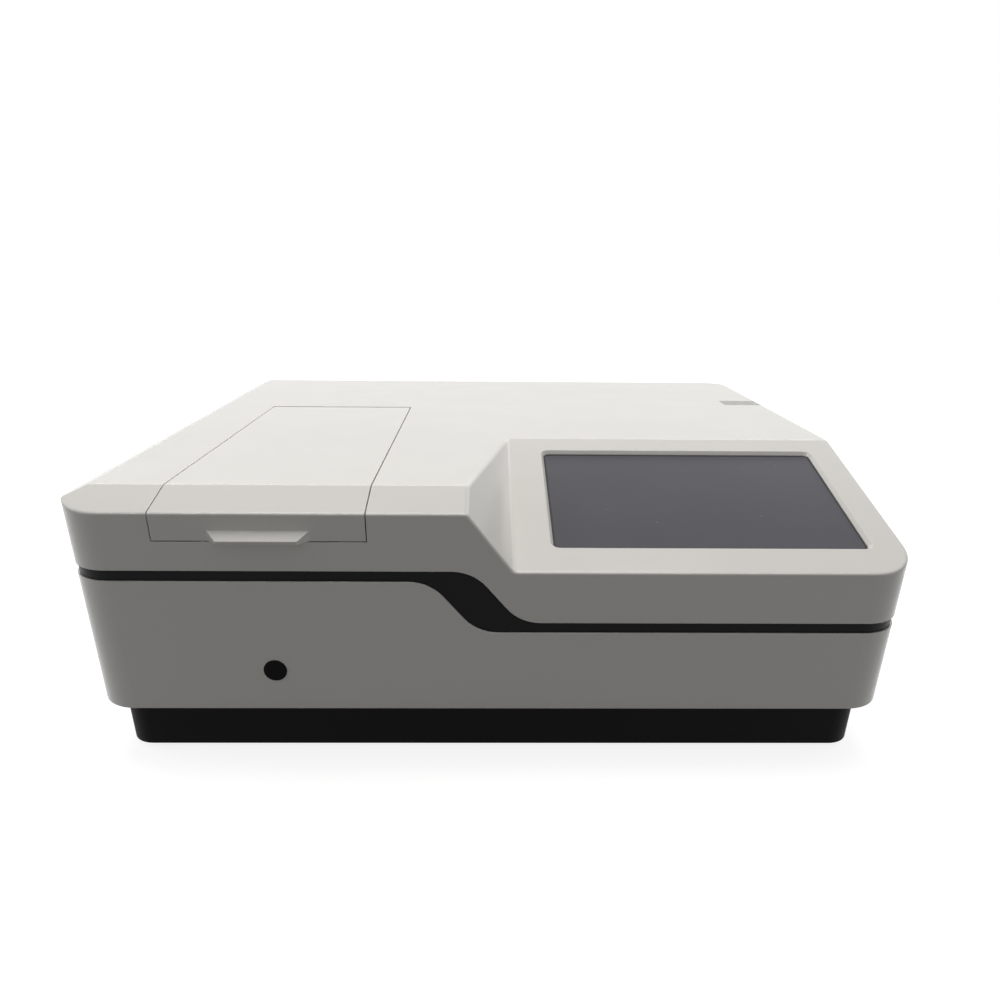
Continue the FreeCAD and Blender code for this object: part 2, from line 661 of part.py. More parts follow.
plug = Piece("port_plug")
plug.add_round("Y", *PORT, "port_radius", "front - plug_face", "plug_face")
plug.add_round("Y", *PORT, "port_radius - port_flange - plug_play", "front", "casing_wall")
plug.add_round("Y", *PORT, "port_radius - port_flange + plug_catch", "front + casing_wall", "catch_length")

# Plinth tray, feet and their screws


def tray_plan(inset):
    """Plan outline of the plinth, set in from the casing."""
    near = f"front_corner - plinth_end_set - ({inset})"
    far = f"rear_corner - plinth_end_set - ({inset})"
    across = f"side - plinth_side_set - ({inset})"
    corners = rectangle(f"-({across})", across, f"front + plinth_end_set + {inset}",
                        f"back - plinth_end_set - ({inset})")
    return [(x, y, radius) for (x, y, _), radius in zip(corners, (near, near, far, far))]


tray = Piece("base_tray")
tray.add("Z", tray_plan("0"), "foot_height", "plinth_height")
tray.cut("Z", tray_plan("tray_wall"), "tray_floor", "plinth_height")
feet = Piece("rubber_feet")
screws = Piece("foot_screws")
for x in ("foot_inset - side", "side - foot_inset"):
    for y in ("front + foot_inset", "back - foot_inset"):
        tray.bore("Z", x, y, "foot_screw_radius + part_clear", "foot_height", "tray_wall")
        feet.add_round("Z", x, y, "foot_radius", "0", "foot_height")
        feet.cut_round("Z", x, y, "foot_screw_head", "-over", "foot_height/2 + over")
        feet.cut_round("Z", x, y, "foot_screw_radius", "foot_height/2 - over", "foot_height")
        screws.add_round("Z", x, y, "foot_screw_radius - foot_screw_fit", "foot_height/2",
                         "tray_floor + nut_height - foot_height/2")
        screws.add_round("Z", x, y, "foot_screw_head - part_clear", "foot_height/2 - screw_head_height",
                         "screw_head_height")
        screws.add_round("Z", x, y, "nut_radius", "tray_floor", "nut_height")

# Sample lid: a hollow cover that wraps the top, the slope and the front, with its lip handle

lid_outside = lid_zone("lid_gap", "lid_rear", "ledge + skirt_clear", "front + flap_return", "flap_low")
lid_inside = lid_zone("lid_gap + casing_wall", "lid_rear + over", "ledge - over",
                      "front + flap_return + over", "flap_low + casing_wall")
lip = Piece()
lip.loft("Y", [
    ("front + sink", widened("lid_centre", "lip_width/2", "flap_low", "flap_low + lip_height")),
    ("front - lip_reach", widened("lid_centre", "lip_tip_width/2", "flap_low",
                                  "flap_low + lip_tip_height")),
])
knuckles = Piece()
pin_holes = Piece()
for low in ("knuckle_left", "knuckle_right"):
    knuckles.add_round("X", "hinge_y", "hinge_z", "knuckle_radius", low, "knuckle_width")
    pin_holes.add_round("X", "hinge_y", "hinge_z", "pin_radius + pin_fit", f"{low} - over",
                        "knuckle_width + 2*over")
ribs = []
for number in (1, 2):
    row = f"front + {number}*rib_share*lid_length"
    ribs.append(box("lid_left + lid_gap + over", "lid_right - lid_gap - over", row, f"{row} + lid_rib",
                    "ledge + skirt_clear + rib_rise", "top - casing_wall + over"))
heel = box("lid_left", "lid_right", "hinge_y", "lid_rear + over", "ledge - over", "hinge_z - heel_drop")
lid_shell = cut(common(outer, lid_outside), common(inner, lid_inside), heel)
keep(cut(fuse(lid_shell, lip.body, common(knuckles.body, outer), *ribs), pin_holes.body), "sample_lid")

# Hinge brackets on the ledge, pins and the seal

brackets = Piece("lid_hinge_brackets")
pins = Piece("lid_hinge_pins")
for low, pin_low in (("bracket_left", "bracket_left"), ("bracket_right", "knuckle_right")):
    stem = rectangle("hinge_y - bracket_head", "hinge_y + bracket_head*tail_share", "ledge", "hinge_z")
    brackets.add("X", stem, low, "bracket_width")
    brackets.add_round("X", "hinge_y", "hinge_z", "bracket_head", low, "bracket_width")
    brackets.bore("X", "hinge_y", "hinge_z", "pin_radius + pin_fit/2", low, "bracket_width")
    pins.add_round("X", "hinge_y", "hinge_z", "pin_radius", pin_low,
                   "bracket_width + part_clear + knuckle_width")


def round_opening(grow):
    """Outline round the compartment's opening."""
    left, right, near, far = TUB_INSIDE
    return rectangle(f"{left} - ({grow})", f"{right} + {grow}", f"{near} - ({grow})", f"{far} + {grow}",
                     f"tub_corner - tub_wall + {grow}")


seal = Piece("lid_seal")
seal.add("Z", round_opening("seal_inset + seal_width"), "ledge", "seal_height")
seal.cut_through("Z", round_opening("seal_inset"), "ledge", "seal_height")

# Sample compartment: tub with beam windows, base plate and two square cell holders

BEAM_ROWS = ("front_row", "rear_row")
TUB_HEIGHT = "ledge - ledge_thick - bench"
tub = Piece("compartment_tub")
tub.add("Z", rectangle("tub_left", "tub_right", "tub_near", "tub_far", "tub_corner"), "bench", TUB_HEIGHT)
tub.cut("Z", rectangle(*TUB_INSIDE, "tub_corner - tub_wall"), "bench + tub_wall", TUB_HEIGHT)
panes = Piece("beam_windows")
for row in BEAM_ROWS:
    tub.bore("X", row, "beam", "window_radius + window_fit", "tub_left", "tub_width")
    for low in ("tub_left", "tub_right - window_thick"):
        panes.add_round("X", row, "beam", "window_radius", low, "window_thick")

plate = Piece("cell_base_plate")
plate.add("Z", rectangle("tub_left + plate_margin", "tub_right - plate_margin", "front_row - plate_end",
                         "rear_row + plate_end", "plate_corner"), "plate_low", "plate_thick")
holders = []
for row in BEAM_ROWS:
    holder = Piece(x="lid_centre", y=row, z="plate_top")
    holders.append(holder.body)
    half = "holder_width/2"
    bay = "(cell_size + cell_play)/2"
    floor = "(cell_floor - plate_top)"
    rise = f"({floor} + cell_depth)"
    holder.add("Z", centred(half, half, "holder_corner"), "0", rise)
    holder.add("Z", centred(f"{half} + holder_foot_reach", "holder_foot_half", "holder_corner"), "0",
               "holder_foot_thick")
    holder.cut("Z", centred(bay, bay), floor, "cell_depth + over")
    holder.cut_through("X", widened("0", "slot_width/2", f"{floor} + slot_rise", f"{rise} - slot_end"),
                       f"-{half}", "holder_width")
    holder.cut("Y", widened("0", "slot_width/2", f"{rise} - front_slot", f"{rise} + over"),
               f"-{half} - over", "holder_width/2")
keep(group(*holders), "cell_holders")

# Touch screen: glass under the bevelled frame, display module, steel frame and its circuit board

glass = Piece("touch_glass", **PANEL)
glass.add("Z", screen_outline("glass_margin", "glass_corner"), "glass_low", "glass_thick")
module = Piece("display_module", **PANEL)
module.add("Z", screen_outline("glass_margin - module_inset", "glass_corner"), "module_low", "module_thick")
metal = Piece("display_frame", **PANEL)
metal.add("Z", rectangle("boss_left - boss_radius", "boss_right + boss_radius", "screen_low", "screen_high",
                         "frame_corner"), "metal_low", "frame_thick")
for across in (-1, 1):
    for along in (-1, 1):
        metal.add_round("Z", f"board_x + {across}*(display_board_width/2 - spacer_inset)",
                        f"board_y + {along}*(display_board_depth/2 - spacer_inset)", "spacer_radius",
                        "metal_low - board_spacer", "board_spacer + sink")
board = Piece("display_board", **PANEL)
board.add("Z", rectangle("board_x - display_board_width/2", "board_x + display_board_width/2",
                         "board_y - display_board_depth/2", "board_y + display_board_depth/2",
                         "board_corner"), "board_low", "board_thick")
# Width and depth of each chip
DISPLAY_CHIPS = ((22, 22), (14, 10), (30, 8))
for number, (wide, deep) in enumerate(DISPLAY_CHIPS):
    chip_left = f"board_x - display_chip_first + {number}*display_chip_pitch"
    chip = rectangle(chip_left, f"{chip_left} + {wide}", f"board_y - {deep}/2", f"board_y + {deep}/2")
    board.add("Z", chip, "board_low - display_chip_height", "display_chip_height + sink")

# Optical bench on its mounts

bench = Piece("optical_bench")
bench.add("Z", [(x, y, "bench_corner") for x, y in (
    ("-bench_side", "bench_near"), ("bench_side", "bench_near"), ("bench_side", "bench_far"),
    ("bench_left", "bench_far"), ("bench_left", "bench_back"), ("-bench_side", "bench_back"))],
    "bench_low", "bench_thick")
mounts = Piece("bench_mounts")
for x, y in (
    ("mount_inset - bench_side", "bench_near + mount_inset"),
    ("bench_side - mount_inset", "bench_near + mount_inset"),
    ("bench_side - mount_inset", "bench_far - mount_inset"),
    ("bench_left + mount_inset", "bench_far - mount_inset"),
    ("mount_inset - bench_side", "bench_back - mount_inset"),
):
    mounts.add_round("Z", x, y, "mount_radius", "tray_floor", "bench_lift")

# Lamp house, open at the bottom, with a light port to the source mirror, and its lamps


def is_upper_rim(edge):
    """True for the level edge at the top of a lamp."""
    return edge.BoundBox.ZMin > value("beam") and edge.BoundBox.ZLength < value("over")


house = Piece("lamp_house")
house.add("Z", rectangle("house_left", "house_right", "house_near", "house_far", "house_corner"), "bench",
          "house_height")
house.cut("Z", rectangle("house_left + sheet_wall", "house_right - sheet_wall", "house_near + sheet_wall",
                         "house_far - sheet_wall", "house_corner - sheet_wall"),
          "bench - over", "house_height - sheet_wall + over")
house.bore("Y", "lamp_x", "beam", "light_port", "house_near", "sheet_wall")
for number in range(SIZES["house_slot_count"]):
    low = f"house_left + house_slot_first + {number}*house_slot_pitch"
    house_vent = rectangle(low, f"{low} + house_slot", "house_near + house_slot_first",
                           "house_far - house_slot_first")
    house.cut_through("Z", house_vent, "house_top - sheet_wall", "sheet_wall")

sockets = Piece("lamp_sockets")
for name, x, y in (("deuterium_lamp", "lamp_x", "lamp_y"), ("halogen_lamp", "halogen_x", "mirror_y")):
    sockets.add_round("Z", x, y, "socket_radius", "bench", "lamp_low - bench")
    sockets.cut_round("Z", x, y, "lamp_neck + part_clear", "lamp_low - socket_height",
                      "socket_height + over")
    lamp = Piece(name)
    lamp.add_round("Z", x, y, "lamp_radius", "lamp_low", "lamp_height")
    lamp.round("lamp_round", is_upper_rim)
    lamp.add_round("Z", x, y, "lamp_neck", "lamp_low - socket_height + part_clear", "socket_height")

# Source mirror on its motor: it turns to pick one lamp


def motor(name, x, y):
    """Square motor hung under the bench, with a bore for the shaft above it."""
    unit = Piece(name, x=x, y=y, z="bench_low")
    unit.add("Z", centred("motor_size/2", "motor_size/2", "motor_corner"), "-motor_height", "motor_height")
    unit.cut_round("Z", "0", "0", "motor_shaft + shaft_fit", "-motor_height/3 - 2*over",
                   "motor_height/3 + 3*over")
    bench.bore("Z", x, y, "motor_shaft + shaft_room", "bench_low", "bench_thick")


def turned_plate(x, y, angle, width, low, high, back, front):
    """Upright plate turned about Z at a corner of the beam, between two faces."""
    upright_plate = Piece(x=x, y=y, z="beam", axis=UP, angle=angle)
    upright_plate.add("Z", widened("0", f"({width})/2", back, front), low, f"({high}) - ({low})")
    return upright_plate


motor("source_mirror_motor", "lamp_x", "mirror_y")
hub = Piece(x="lamp_x", y="mirror_y", z="0")
hub.add_round("Z", "0", "0", "motor_shaft", "shaft_low", "bench + hub_height - shaft_low")
hub.add_round("Z", "0", "0", "hub_radius", "bench + part_clear",
              "beam_rise - source_mirror_size/2 - part_clear")
mirror_face = turned_plate("lamp_x", "mirror_y", "source_turn", "source_mirror_size",
                           "-source_mirror_size/2 - sink", "source_mirror_size/2", "-mirror_thick", "0")
keep(fuse(hub.body, mirror_face.body), "source_mirror")

# Filter wheel with its glasses, its motor and the bracket; the beam goes through the lowest filter

WHEEL = {"x": "wheel_x", "y": "mirror_y", "z": "beam + filter_ring"}
BRACKET_X = "wheel_thick + wheel_gap"
MOTOR_X = "wheel_thick + wheel_gap + bracket_thick"
wheel = Piece("filter_wheel", **WHEEL)
wheel.add_round("X", "0", "0", "wheel_radius", "0", "wheel_thick")
hole = wheel.cut_round("X", "0", "-filter_ring", "filter_radius", "-over", "wheel_thick + 2*over")
wheel.turn_copies(hole, "X", "filter_count")
wheel.add_round("X", "0", "0", "wheel_hub", "-wheel_hub_rise", "wheel_hub_rise + sink")
wheel.add_round("X", "0", "0", "wheel_shaft", "0", f"{MOTOR_X} + wheel_motor_length/2")
filters = Piece("filter_glasses", **WHEEL)
disc = filters.add_round("X", "0", "-filter_ring", "filter_radius - filter_play", "wheel_thick/4",
                         "wheel_thick/2")
filters.turn_copies(disc, "X", "filter_count")
bracket = Piece("filter_motor_bracket", **WHEEL)
wide = "wheel_motor_radius + bracket_edge"
bracket.add("X", widened("0", wide, "wheel_foot", wide, "bracket_corner"), BRACKET_X, "bracket_thick")
bracket.add("X", widened("0", wide, "wheel_foot", "wheel_foot + bracket_thick"), f"{BRACKET_X} + over",
            "wheel_motor_length")
bracket.cut_round("X", "0", "0", "wheel_shaft + shaft_room", "wheel_thick", "bracket_thick + 2*wheel_gap")
bracket.cut_round("X", "0", "-filter_ring", "filter_radius + shaft_room", "wheel_thick",
                  "bracket_thick + 2*wheel_gap")
wheel_motor = Piece("filter_wheel_motor", **WHEEL)
wheel_motor.add_round("X", "0", "0", "wheel_motor_radius", MOTOR_X, "wheel_motor_length")
wheel_motor.cut_round("X", "0", "0", "wheel_shaft + shaft_fit", f"{MOTOR_X} - 2*over",
                      "wheel_motor_length/2 + 4*over")

# Slits, curved mirrors and their mounts

for name, x in (("entrance_slit", "entry_x"), ("exit_slit", "exit_x")):
    slit = Piece(name, x=x, y="slit_y", z="bench")
    slit.add("Y", widened("0", "slit_width/2", "0", "slit_height"), "0", "slit_thick")
    slit.add("Y", widened("0", "slit_width/2", "0", "slit_thick"), "-slit_foot_set", "slit_foot")
    slit.cut_through("Y", widened("0", "slit_gap/2", "beam_rise - slit_tall/2", "beam_rise + slit_tall/2"),
                     "0", "slit_thick")

carriers = []
for name, x, angle in (("collimating_mirror", "collimator_x", "collimator_turn"),
                       ("focusing_mirror", "focuser_x", "focuser_turn")):
    spot = {"x": x, "y": "dish_y", "z": "beam", "axis": UP, "angle": angle}
    dish = Piece(name, **spot)
    dish.add_round("Y", "0", "0", "round_mirror", "0", "round_thick")
    hollow = dish.body.newObject("PartDesign::SubtractiveSphere", "Hollow")
    bind(hollow, "Radius", "mirror_curve")
    bind(hollow, "Placement.Base.y", "mirror_sag - mirror_curve")
    carrier = Piece(**spot)
    wide = "round_mirror + mirror_rim"
    carrier.add("Y", widened("0", wide, "-beam_rise", wide, "post_corner"), "round_thick", "carrier_thick")
    carrier.add("Y", widened("0", wide, "-beam_rise", "carrier_thick - beam_rise"), "-carrier_foot",
                "round_thick + carrier_foot + sink")
    carriers.append(carrier.body)
keep(group(*carriers), "mirror_mounts")

# Grating on its turntable with a gear wheel, driven by the pinion on the motor below


def toothed(piece, radius, count):
    """Ring of straight-sided teeth of one depth outside a root circle."""
    root = f"({radius} - tooth_depth/2 - root_gap)"
    crown = f"{root} + root_gap + tooth_depth"
    thick = f"2*pi*{radius}/{count}*tooth_share"
    piece.add_round("Z", "0", "0", f"{root} + root_gap/2", "gear_low", "gear_thick")
    tooth = piece.add("Z", [
        (f"{root} - sink", f"-{thick}*tooth_foot"), (crown, f"-{thick}*tooth_tip"),
        (crown, f"{thick}*tooth_tip"), (f"{root} - sink", f"{thick}*tooth_foot"),
    ], "gear_low", "gear_thick")
    piece.turn_copies(tooth, "Z", count)


TABLE_LOW = "beam_rise - grating_size/2"
table = Piece("grating_turntable", x="grating_x", y="grating_y", z="bench")
toothed(table, "tooth_pitch_radius", "gear_teeth")
table.add_round("Z", "0", "0", "table_shaft", "-bench_thick/2", "bench_thick/2 + gear_low + over")
table.add_round("Z", "0", "0", "table_neck", "gear_low + gear_thick - over",
                f"{TABLE_LOW} - gear_low - gear_thick + over")
table.add_round("Z", "0", "0", "table_radius", f"{TABLE_LOW} - table_thick", "table_thick")
bearing = Piece("grating_bearing", x="grating_x", y="grating_y", z="bench")
bearing.add_round("Z", "0", "0", "bearing_radius", "0", "bearing_thick")
bearing.bore("Z", "0", "0", "table_shaft + shaft_fit", "0", "bearing_thick")
bench.bore("Z", "grating_x", "grating_y", "table_shaft + shaft_room", "bench_low", "bench_thick")
grating = Piece("grating", x="grating_x", y="grating_y", z="beam")
grating.add("Z", widened("0", "grating_size/2", "-grating_thick", "0"), "-grating_size/2", "grating_size")
motor("grating_motor", "pinion_x", "grating_y")
pinion = Piece("grating_pinion", x="pinion_x", y="grating_y", z="bench")
toothed(pinion, "pinion_radius", "pinion_teeth")
pinion.add_round("Z", "0", "0", "motor_shaft", "shaft_low - bench", "bench - shaft_low + gear_low + over")

# Flat mirrors, beam splitter and their mounts

fold_plates = []
mount_posts = []
for x, y, angle in (("entry_x", "mirror_y", "-fold_turn"), ("exit_x", "front_row", "fold_turn")):
    plate = turned_plate(x, y, angle, "fold_size", "-fold_size/2", "fold_size/2", "-mirror_thick", "0")
    fold_plates.append(plate.body)
    post = turned_plate(x, y, angle, "post_width", "-beam_rise", "fold_size/2",
                        "-mirror_thick - post_thick", "-mirror_thick")
    post.add("Z", widened("0", "fold_size/2", "-mirror_thick - post_foot", "-mirror_thick", "post_corner"),
             "-beam_rise", "post_foot_thick")
    mount_posts.append(post.body)
keep(group(*fold_plates), "fold_mirrors")
keep(group(*mount_posts), "fold_mirror_mounts")
splitter = turned_plate("exit_x", "rear_row", "fold_turn", "fold_size", "-fold_size/2", "fold_size/2",
                        "-splitter_thick", "0")
keep(splitter.body, "beam_splitter")
stand = turned_plate("exit_x", "rear_row", "fold_turn", "fold_size + 2*stand_edge", "-beam_rise",
                     "fold_size/2 + stand_edge", "-splitter_thick - stand_thick", "-splitter_thick")
stand.bore("Y", "0", "0", "stand_bore", "-splitter_thick - stand_thick", "stand_thick")
keep(stand.body, "splitter_mount")

# Lenses and detectors at the left of the compartment, with the preamplifier board behind them

lenses = []
rings = []
detectors = []
for row in BEAM_ROWS:
    caps = []
    for sense in (-1, 1):
        cap = doc.addObject("Part::Sphere", "Cap")
        bind(cap, "Radius", "lens_curve")
        caps.append(place(cap, f"lens_x + {sense}*(lens_curve - lens_thick/2)", row, "beam"))
    rim = Piece()
    rim.add_round("X", row, "beam", "lens_radius", "lens_x - lens_thick", "2*lens_thick")
    lenses.append(common(common(*caps), rim.body))
    ring = Piece()
    reach = "lens_radius + lens_rim"
    ring.add("X", widened(row, reach, "bench", f"beam + {reach}", "ring_corner"), "lens_x - ring_thick/2",
             "ring_thick")
    ring.add("X", widened(row, reach, "bench", "bench + ring_thick"), "lens_x - over", "ring_foot")
    ring.cut_round("X", row, "beam", "lens_radius + window_fit", "lens_x - ring_thick", "2*ring_thick")
    rings.append(ring.body)
    detector = Piece(x="detector_x", y=row, z="beam")
    half = "detector_length/2"
    detector.add_round("X", "0", "0", "detector_radius", f"-{half}", "detector_length")
    detector.add("X", widened("0", "detector_post", "-beam_rise", "0"), f"post_inset - {half}",
                 "detector_length - 2*post_inset")
    detector.add("X", widened("0", "detector_foot", "-beam_rise", "detector_foot_thick - beam_rise"),
                 f"over - {half}", "detector_length - 2*over")
    detector.cut_round("X", "0", "0", "detector_window", f"{half} - detector_well", "detector_well + over")
    detectors.append(detector.body)
keep(group(*lenses), "detector_lenses")
keep(group(*rings), "lens_mounts")
keep(group(*detectors), "beam_detectors")
preamp = Piece("preamp_board", x="detector_x - detector_length/2 - board_thick",
               y="(front_row + rear_row)/2", z="beam")
preamp.add("X", centred("preamp_width/2", "preamp_height/2", "board_corner"), "0", "board_thick")
for number in range(3):
    low = f"{number}*preamp_chip_pitch - preamp_chip_first"
    preamp.add("X", rectangle(low, f"{low} + preamp_chip_width", "-preamp_chip_half", "preamp_chip_half"),
               "board_thick - board_sink", "preamp_chip_height + board_sink")

# Mains inlet with its blades and fuse drawer, and the rocker switch

INLET = {"x": "inlet_x", "y": "back + rear_reach", "z": "rear_axis"}
BODY_HALVES = ("inlet_width/2 - inlet_body_side", "inlet_height/2 - inlet_body_end")
inlet = Piece("mains_inlet", **INLET)
inlet.add("Y", centred("inlet_width/2", "inlet_height/2", "inlet_corner"), "-casing_wall - rear_reach",
          "casing_wall + rear_reach")
inlet.add("Y", centred(*BODY_HALVES, "inlet_body_corner"), "-inlet_depth", "inlet_depth - over")
inlet.cut("Y", widened("0", "socket_wide/2", "socket_z - socket_tall/2", "socket_z + socket_tall/2",
                       "socket_corner"), "-socket_deep", "socket_deep + over")
rocker_hole = widened("0", "rocker_width/2 + rocker_side_play",
                      "rocker_z - rocker_height/2 - rocker_end_play",
                      "rocker_z + rocker_height/2 + rocker_end_play")
inlet.cut("Y", rocker_hole, "-rocker_well", "rocker_well + over")
fuse_hole = widened("0", "fuse_width/2 + fuse_play", "fuse_z - fuse_tall/2 - fuse_play",
                    "fuse_z + fuse_tall/2 + fuse_play")
inlet.cut("Y", fuse_hole, "-fuse_depth - fuse_play", "fuse_depth + 2*over")
inlet.cut_round("X", "-rocker_sink", "rocker_z", "rocker_pin + shaft_fit", "-rocker_width/2 - 2*over",
                "rocker_width + 4*over")
blades = Piece("inlet_blades", **INLET)
for x, rise in (("-blade_side", "-blade_rise"), ("blade_side", "-blade_rise"), ("0", "earth_rise")):
    blade_face = widened(x, "blade_thick/2", f"socket_z + {rise} - blade_tall/2",
                         f"socket_z + {rise} + blade_tall/2")
    blades.add("Y", blade_face, "-socket_deep", "socket_deep - blade_short")
fuse_drawer = Piece("fuse_drawer", **INLET)
fuse_drawer.add("Y", widened("0", "fuse_width/2", "fuse_z - fuse_tall/2", "fuse_z + fuse_tall/2"),
                "-fuse_depth", "fuse_depth")
fuse_drawer.cut("Y", widened("0", "grip_half", "fuse_z + grip_low", "fuse_z + fuse_tall/2 + sink"),
                "-grip_depth", "grip_depth + over")
rocker = Piece("power_rocker", x="inlet_x", y="back + rear_reach - rocker_sink", z="rear_axis + rocker_z",
               axis=ACROSS, angle="rocker_turn")
crest = "rocker_height/2 - rocker_trim"
rocker.add("X", [("-rocker_depth", f"-({crest})"), ("rocker_crest", f"-({crest})"), ("-rocker_dip", "0"),
                 ("rocker_crest", crest), ("-rocker_depth", crest)], "-rocker_width/2", "rocker_width")
rocker.add_round("X", "0", "0", "rocker_pin", "-rocker_width/2 - rocker_pin_reach",
                 "rocker_width + 2*rocker_pin_reach")

# Rear panel sheet with its cutouts, and the data sockets

sheet_panel = Piece()
sheet_panel.add("Y", rectangle("panel_left - panel_lap", "panel_right + panel_lap", "panel_base - panel_lap",
                               "panel_high + panel_lap", "panel_corner"), "panel_y", "panel_thick")
body_side, body_end = BODY_HALVES
sheet_panel.cut_through("Y", widened("inlet_x", f"{body_side} + cutout_play",
                                     f"rear_axis - ({body_end} + cutout_play)",
                                     f"rear_axis + {body_end} + cutout_play"), "panel_y", "panel_thick")
# Height over the rear axis, half width and half height of each data socket
DATA_SOCKETS = ((-16, 6.2, 15.5), (12, 6, 5.5), (31, 3.2, 6.8))
data = Piece("data_sockets", x="data_x", y="back - casing_wall", z="rear_axis")
for rise, wide, tall in DATA_SOCKETS:
    data.add("Y", widened("0", f"{wide}", f"{rise} - {tall}", f"{rise} + {tall}", "data_corner"),
             "-data_depth", "data_depth + over")
    data.cut("Y", widened("0", f"({wide} - data_wall)", f"{rise} - {tall} + data_wall",
                          f"{rise} + {tall} - data_wall"), "-data_well", "data_well + 2*over")
    tongue = widened("0", f"{wide}/3", f"{rise} - {tall}*tongue_share", f"{rise} + {tall}*tongue_share")
    data.add("Y", tongue, "-data_well - over", "tongue_length")
    cutout = widened("data_x", f"({wide} + cutout_play)", f"rear_axis + {rise} - {tall} - cutout_play",
                     f"rear_axis + {rise} + {tall} + cutout_play")
    sheet_panel.cut_through("Y", cutout, "panel_y", "panel_thick")

# Fan, its rotor and the guard punched in the panel

FAN = {"x": "fan_x", "y": "panel_y", "z": "rear_axis"}
fan = Piece("fan_frame", **FAN)
fan.add("Y", centred("fan_size/2", "fan_size/2", "fan_corner"), "-fan_depth", "fan_depth")
fan.bore("Y", "0", "0", "fan_bore", "-fan_depth", "fan_depth")
fan.add_round("Y", "0", "0", "fan_seat", "-fan_bar", "fan_bar")
fan.add("Y", centred("fan_size/2 - over", "fan_bar_half"), "-fan_bar", "fan_bar")
fan.add("Y", centred("fan_bar_half", "fan_size/2 - over"), "-fan_bar", "fan_bar")
fan.cut_round("Y", "0", "0", "fan_shaft + shaft_fit", "-fan_bar - over", "fan_bar + sink")
rotor = Piece("fan_rotor", **FAN)
rotor.add_round("Y", "0", "0", "fan_hub", "rotor_front - fan_depth", "fan_depth - rotor_front - rotor_gap")
rotor.add_round("Y", "0", "0", "fan_shaft", "-rotor_gap - over", "fan_shaft_length")
blade_root = [
    ("root_start - fan_depth", "-root_half"), ("root_start + root_thick - fan_depth", "-root_half"),
    ("root_thick - root_end", "root_half"), ("-root_end", "root_half"),
]
blade_end = [
    ("tip_start - fan_depth", "-blade_reach"), ("tip_start + tip_thick - fan_depth", "-blade_reach"),
    ("tip_thick - tip_end", "blade_reach - tip_fall"), ("-tip_end", "blade_reach - tip_fall"),
]
blade = rotor.loft("X", [("fan_hub - over", blade_root), ("blade_tip", blade_end)])
rotor.turn_copies(blade, "Y", "fan_blades")
guard = []
for number in range(1, SIZES["guard_count"] + 1):
    outside_ring = f"fan_hub + {number}*guard_ring + guard_first"
    ring = Piece()
    ring.add_round("Y", "fan_x", "rear_axis", outside_ring, "panel_y - over", "panel_thick + 2*over")
    ring.cut_round("Y", "fan_x", "rear_axis", f"{outside_ring} - guard_ring + guard_rib", "panel_y - 2*over",
                   "panel_thick + 4*over")
    guard.append(ring.body)
bars = Piece(x="fan_x", y="panel_y", z="rear_axis", axis=Vector(0, 1, 0), angle="guard_turn")
for halves in (("fan_size", "guard_bar/2"), ("guard_bar/2", "fan_size")):
    bars.add("Y", centred(*halves), "-2*over", "panel_thick + 4*over")
keep(cut(sheet_panel.body, cut(fuse(*guard), bars.body)), "rear_panel")

# Power supply and main board on the tray's floor

supply = Piece("power_supply", x="supply_x", y="back - supply_rear - supply_depth", z="tray_floor")
supply.add("Z", rectangle("0", "supply_width", "0", "supply_depth", "supply_corner"), "0", "supply_height")
supply.cut_through("X", rectangle("-over", "terminal_step", "terminal_step", "supply_height + over"), "0",
                   "supply_width")
for number in range(SIZES["terminal_count"]):
    low = f"terminal_first + {number}*terminal_pitch"
    terminal = rectangle(low, f"{low} + terminal_width", "terminal_front", "terminal_front + terminal_deep")
    supply.add("Z", terminal, "terminal_step", "terminal_tall")
for number in range(SIZES["supply_slot_count"]):
    low = f"supply_slot_first + {number}*supply_slot_pitch"
    supply_vent = rectangle(low, f"{low} + supply_slot", "supply_slot_low",
                            "supply_height - supply_slot_top")
    supply.cut("Y", supply_vent, "supply_depth - over", "2*over")
BOARD = {"x": "main_left", "y": "front + main_front", "z": "tray_floor"}
legs = Piece("board_standoffs", **BOARD)
for x in ("leg_inset", "main_width - leg_inset"):
    for y in ("leg_inset", "main_depth - leg_inset"):
        legs.add_round("Z", x, y, "leg_radius", "0", "main_spacer")
main = Piece("main_board", **BOARD)
main.add("Z", rectangle("0", "main_width", "0", "main_depth", "main_corner"), "main_spacer", "board_thick")
# Left, near edge, width, depth and height of each chip and connector
MAIN_CHIPS = ((30, 40, 28, 28, 3), (90, 36, 20, 20, 2.5), (140, 30, 14, 40, 2), (180, 30, 24, 60, 12),
              (40, 110, 60, 14, 9), (130, 120, 30, 30, 4))
for x, y, wide, deep, tall in MAIN_CHIPS:
    chip = rectangle(f"{x}", f"{x + wide}", f"{y}", f"{y + deep}")
    main.add("Z", chip, "main_spacer + board_thick - board_sink", f"{tall} + board_sink")


def write_parts():
    """Check every object, then write each finished piece to its own file."""
    doc.recompute()
    for thing in doc.Objects:
        if set(thing.State) & {"Invalid", "Error"}:
            raise RuntimeError(f"{thing.Name} of {thing.Label} failed: {thing.State}")
        if thing.TypeId == "PartDesign::Pocket" and thing.Shape.isEqual(thing.BaseFeature.Shape):
            raise RuntimeError(f"{thing.Name} cuts nothing")
    os.makedirs("parts", exist_ok=True)
    for name, thing in pieces.items():
        if thing.Shape.isNull() or not thing.Shape.isValid() or not thing.Shape.Solids:
            raise RuntimeError(f"{name} is not a valid solid")
        thing.Shape.exportStep(f"parts/{name}.step")
        print(f"{name}: {len(thing.Shape.Solids)} solids, {thing.Shape.Volume/1000:.1f} cm3")


write_parts()
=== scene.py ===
"""Dresses a double beam spectrophotometer: finishes, small fittings, stage, lamps and camera."""

import json
import math

import bpy
import numpy as np
from mathutils import Matrix, Vector

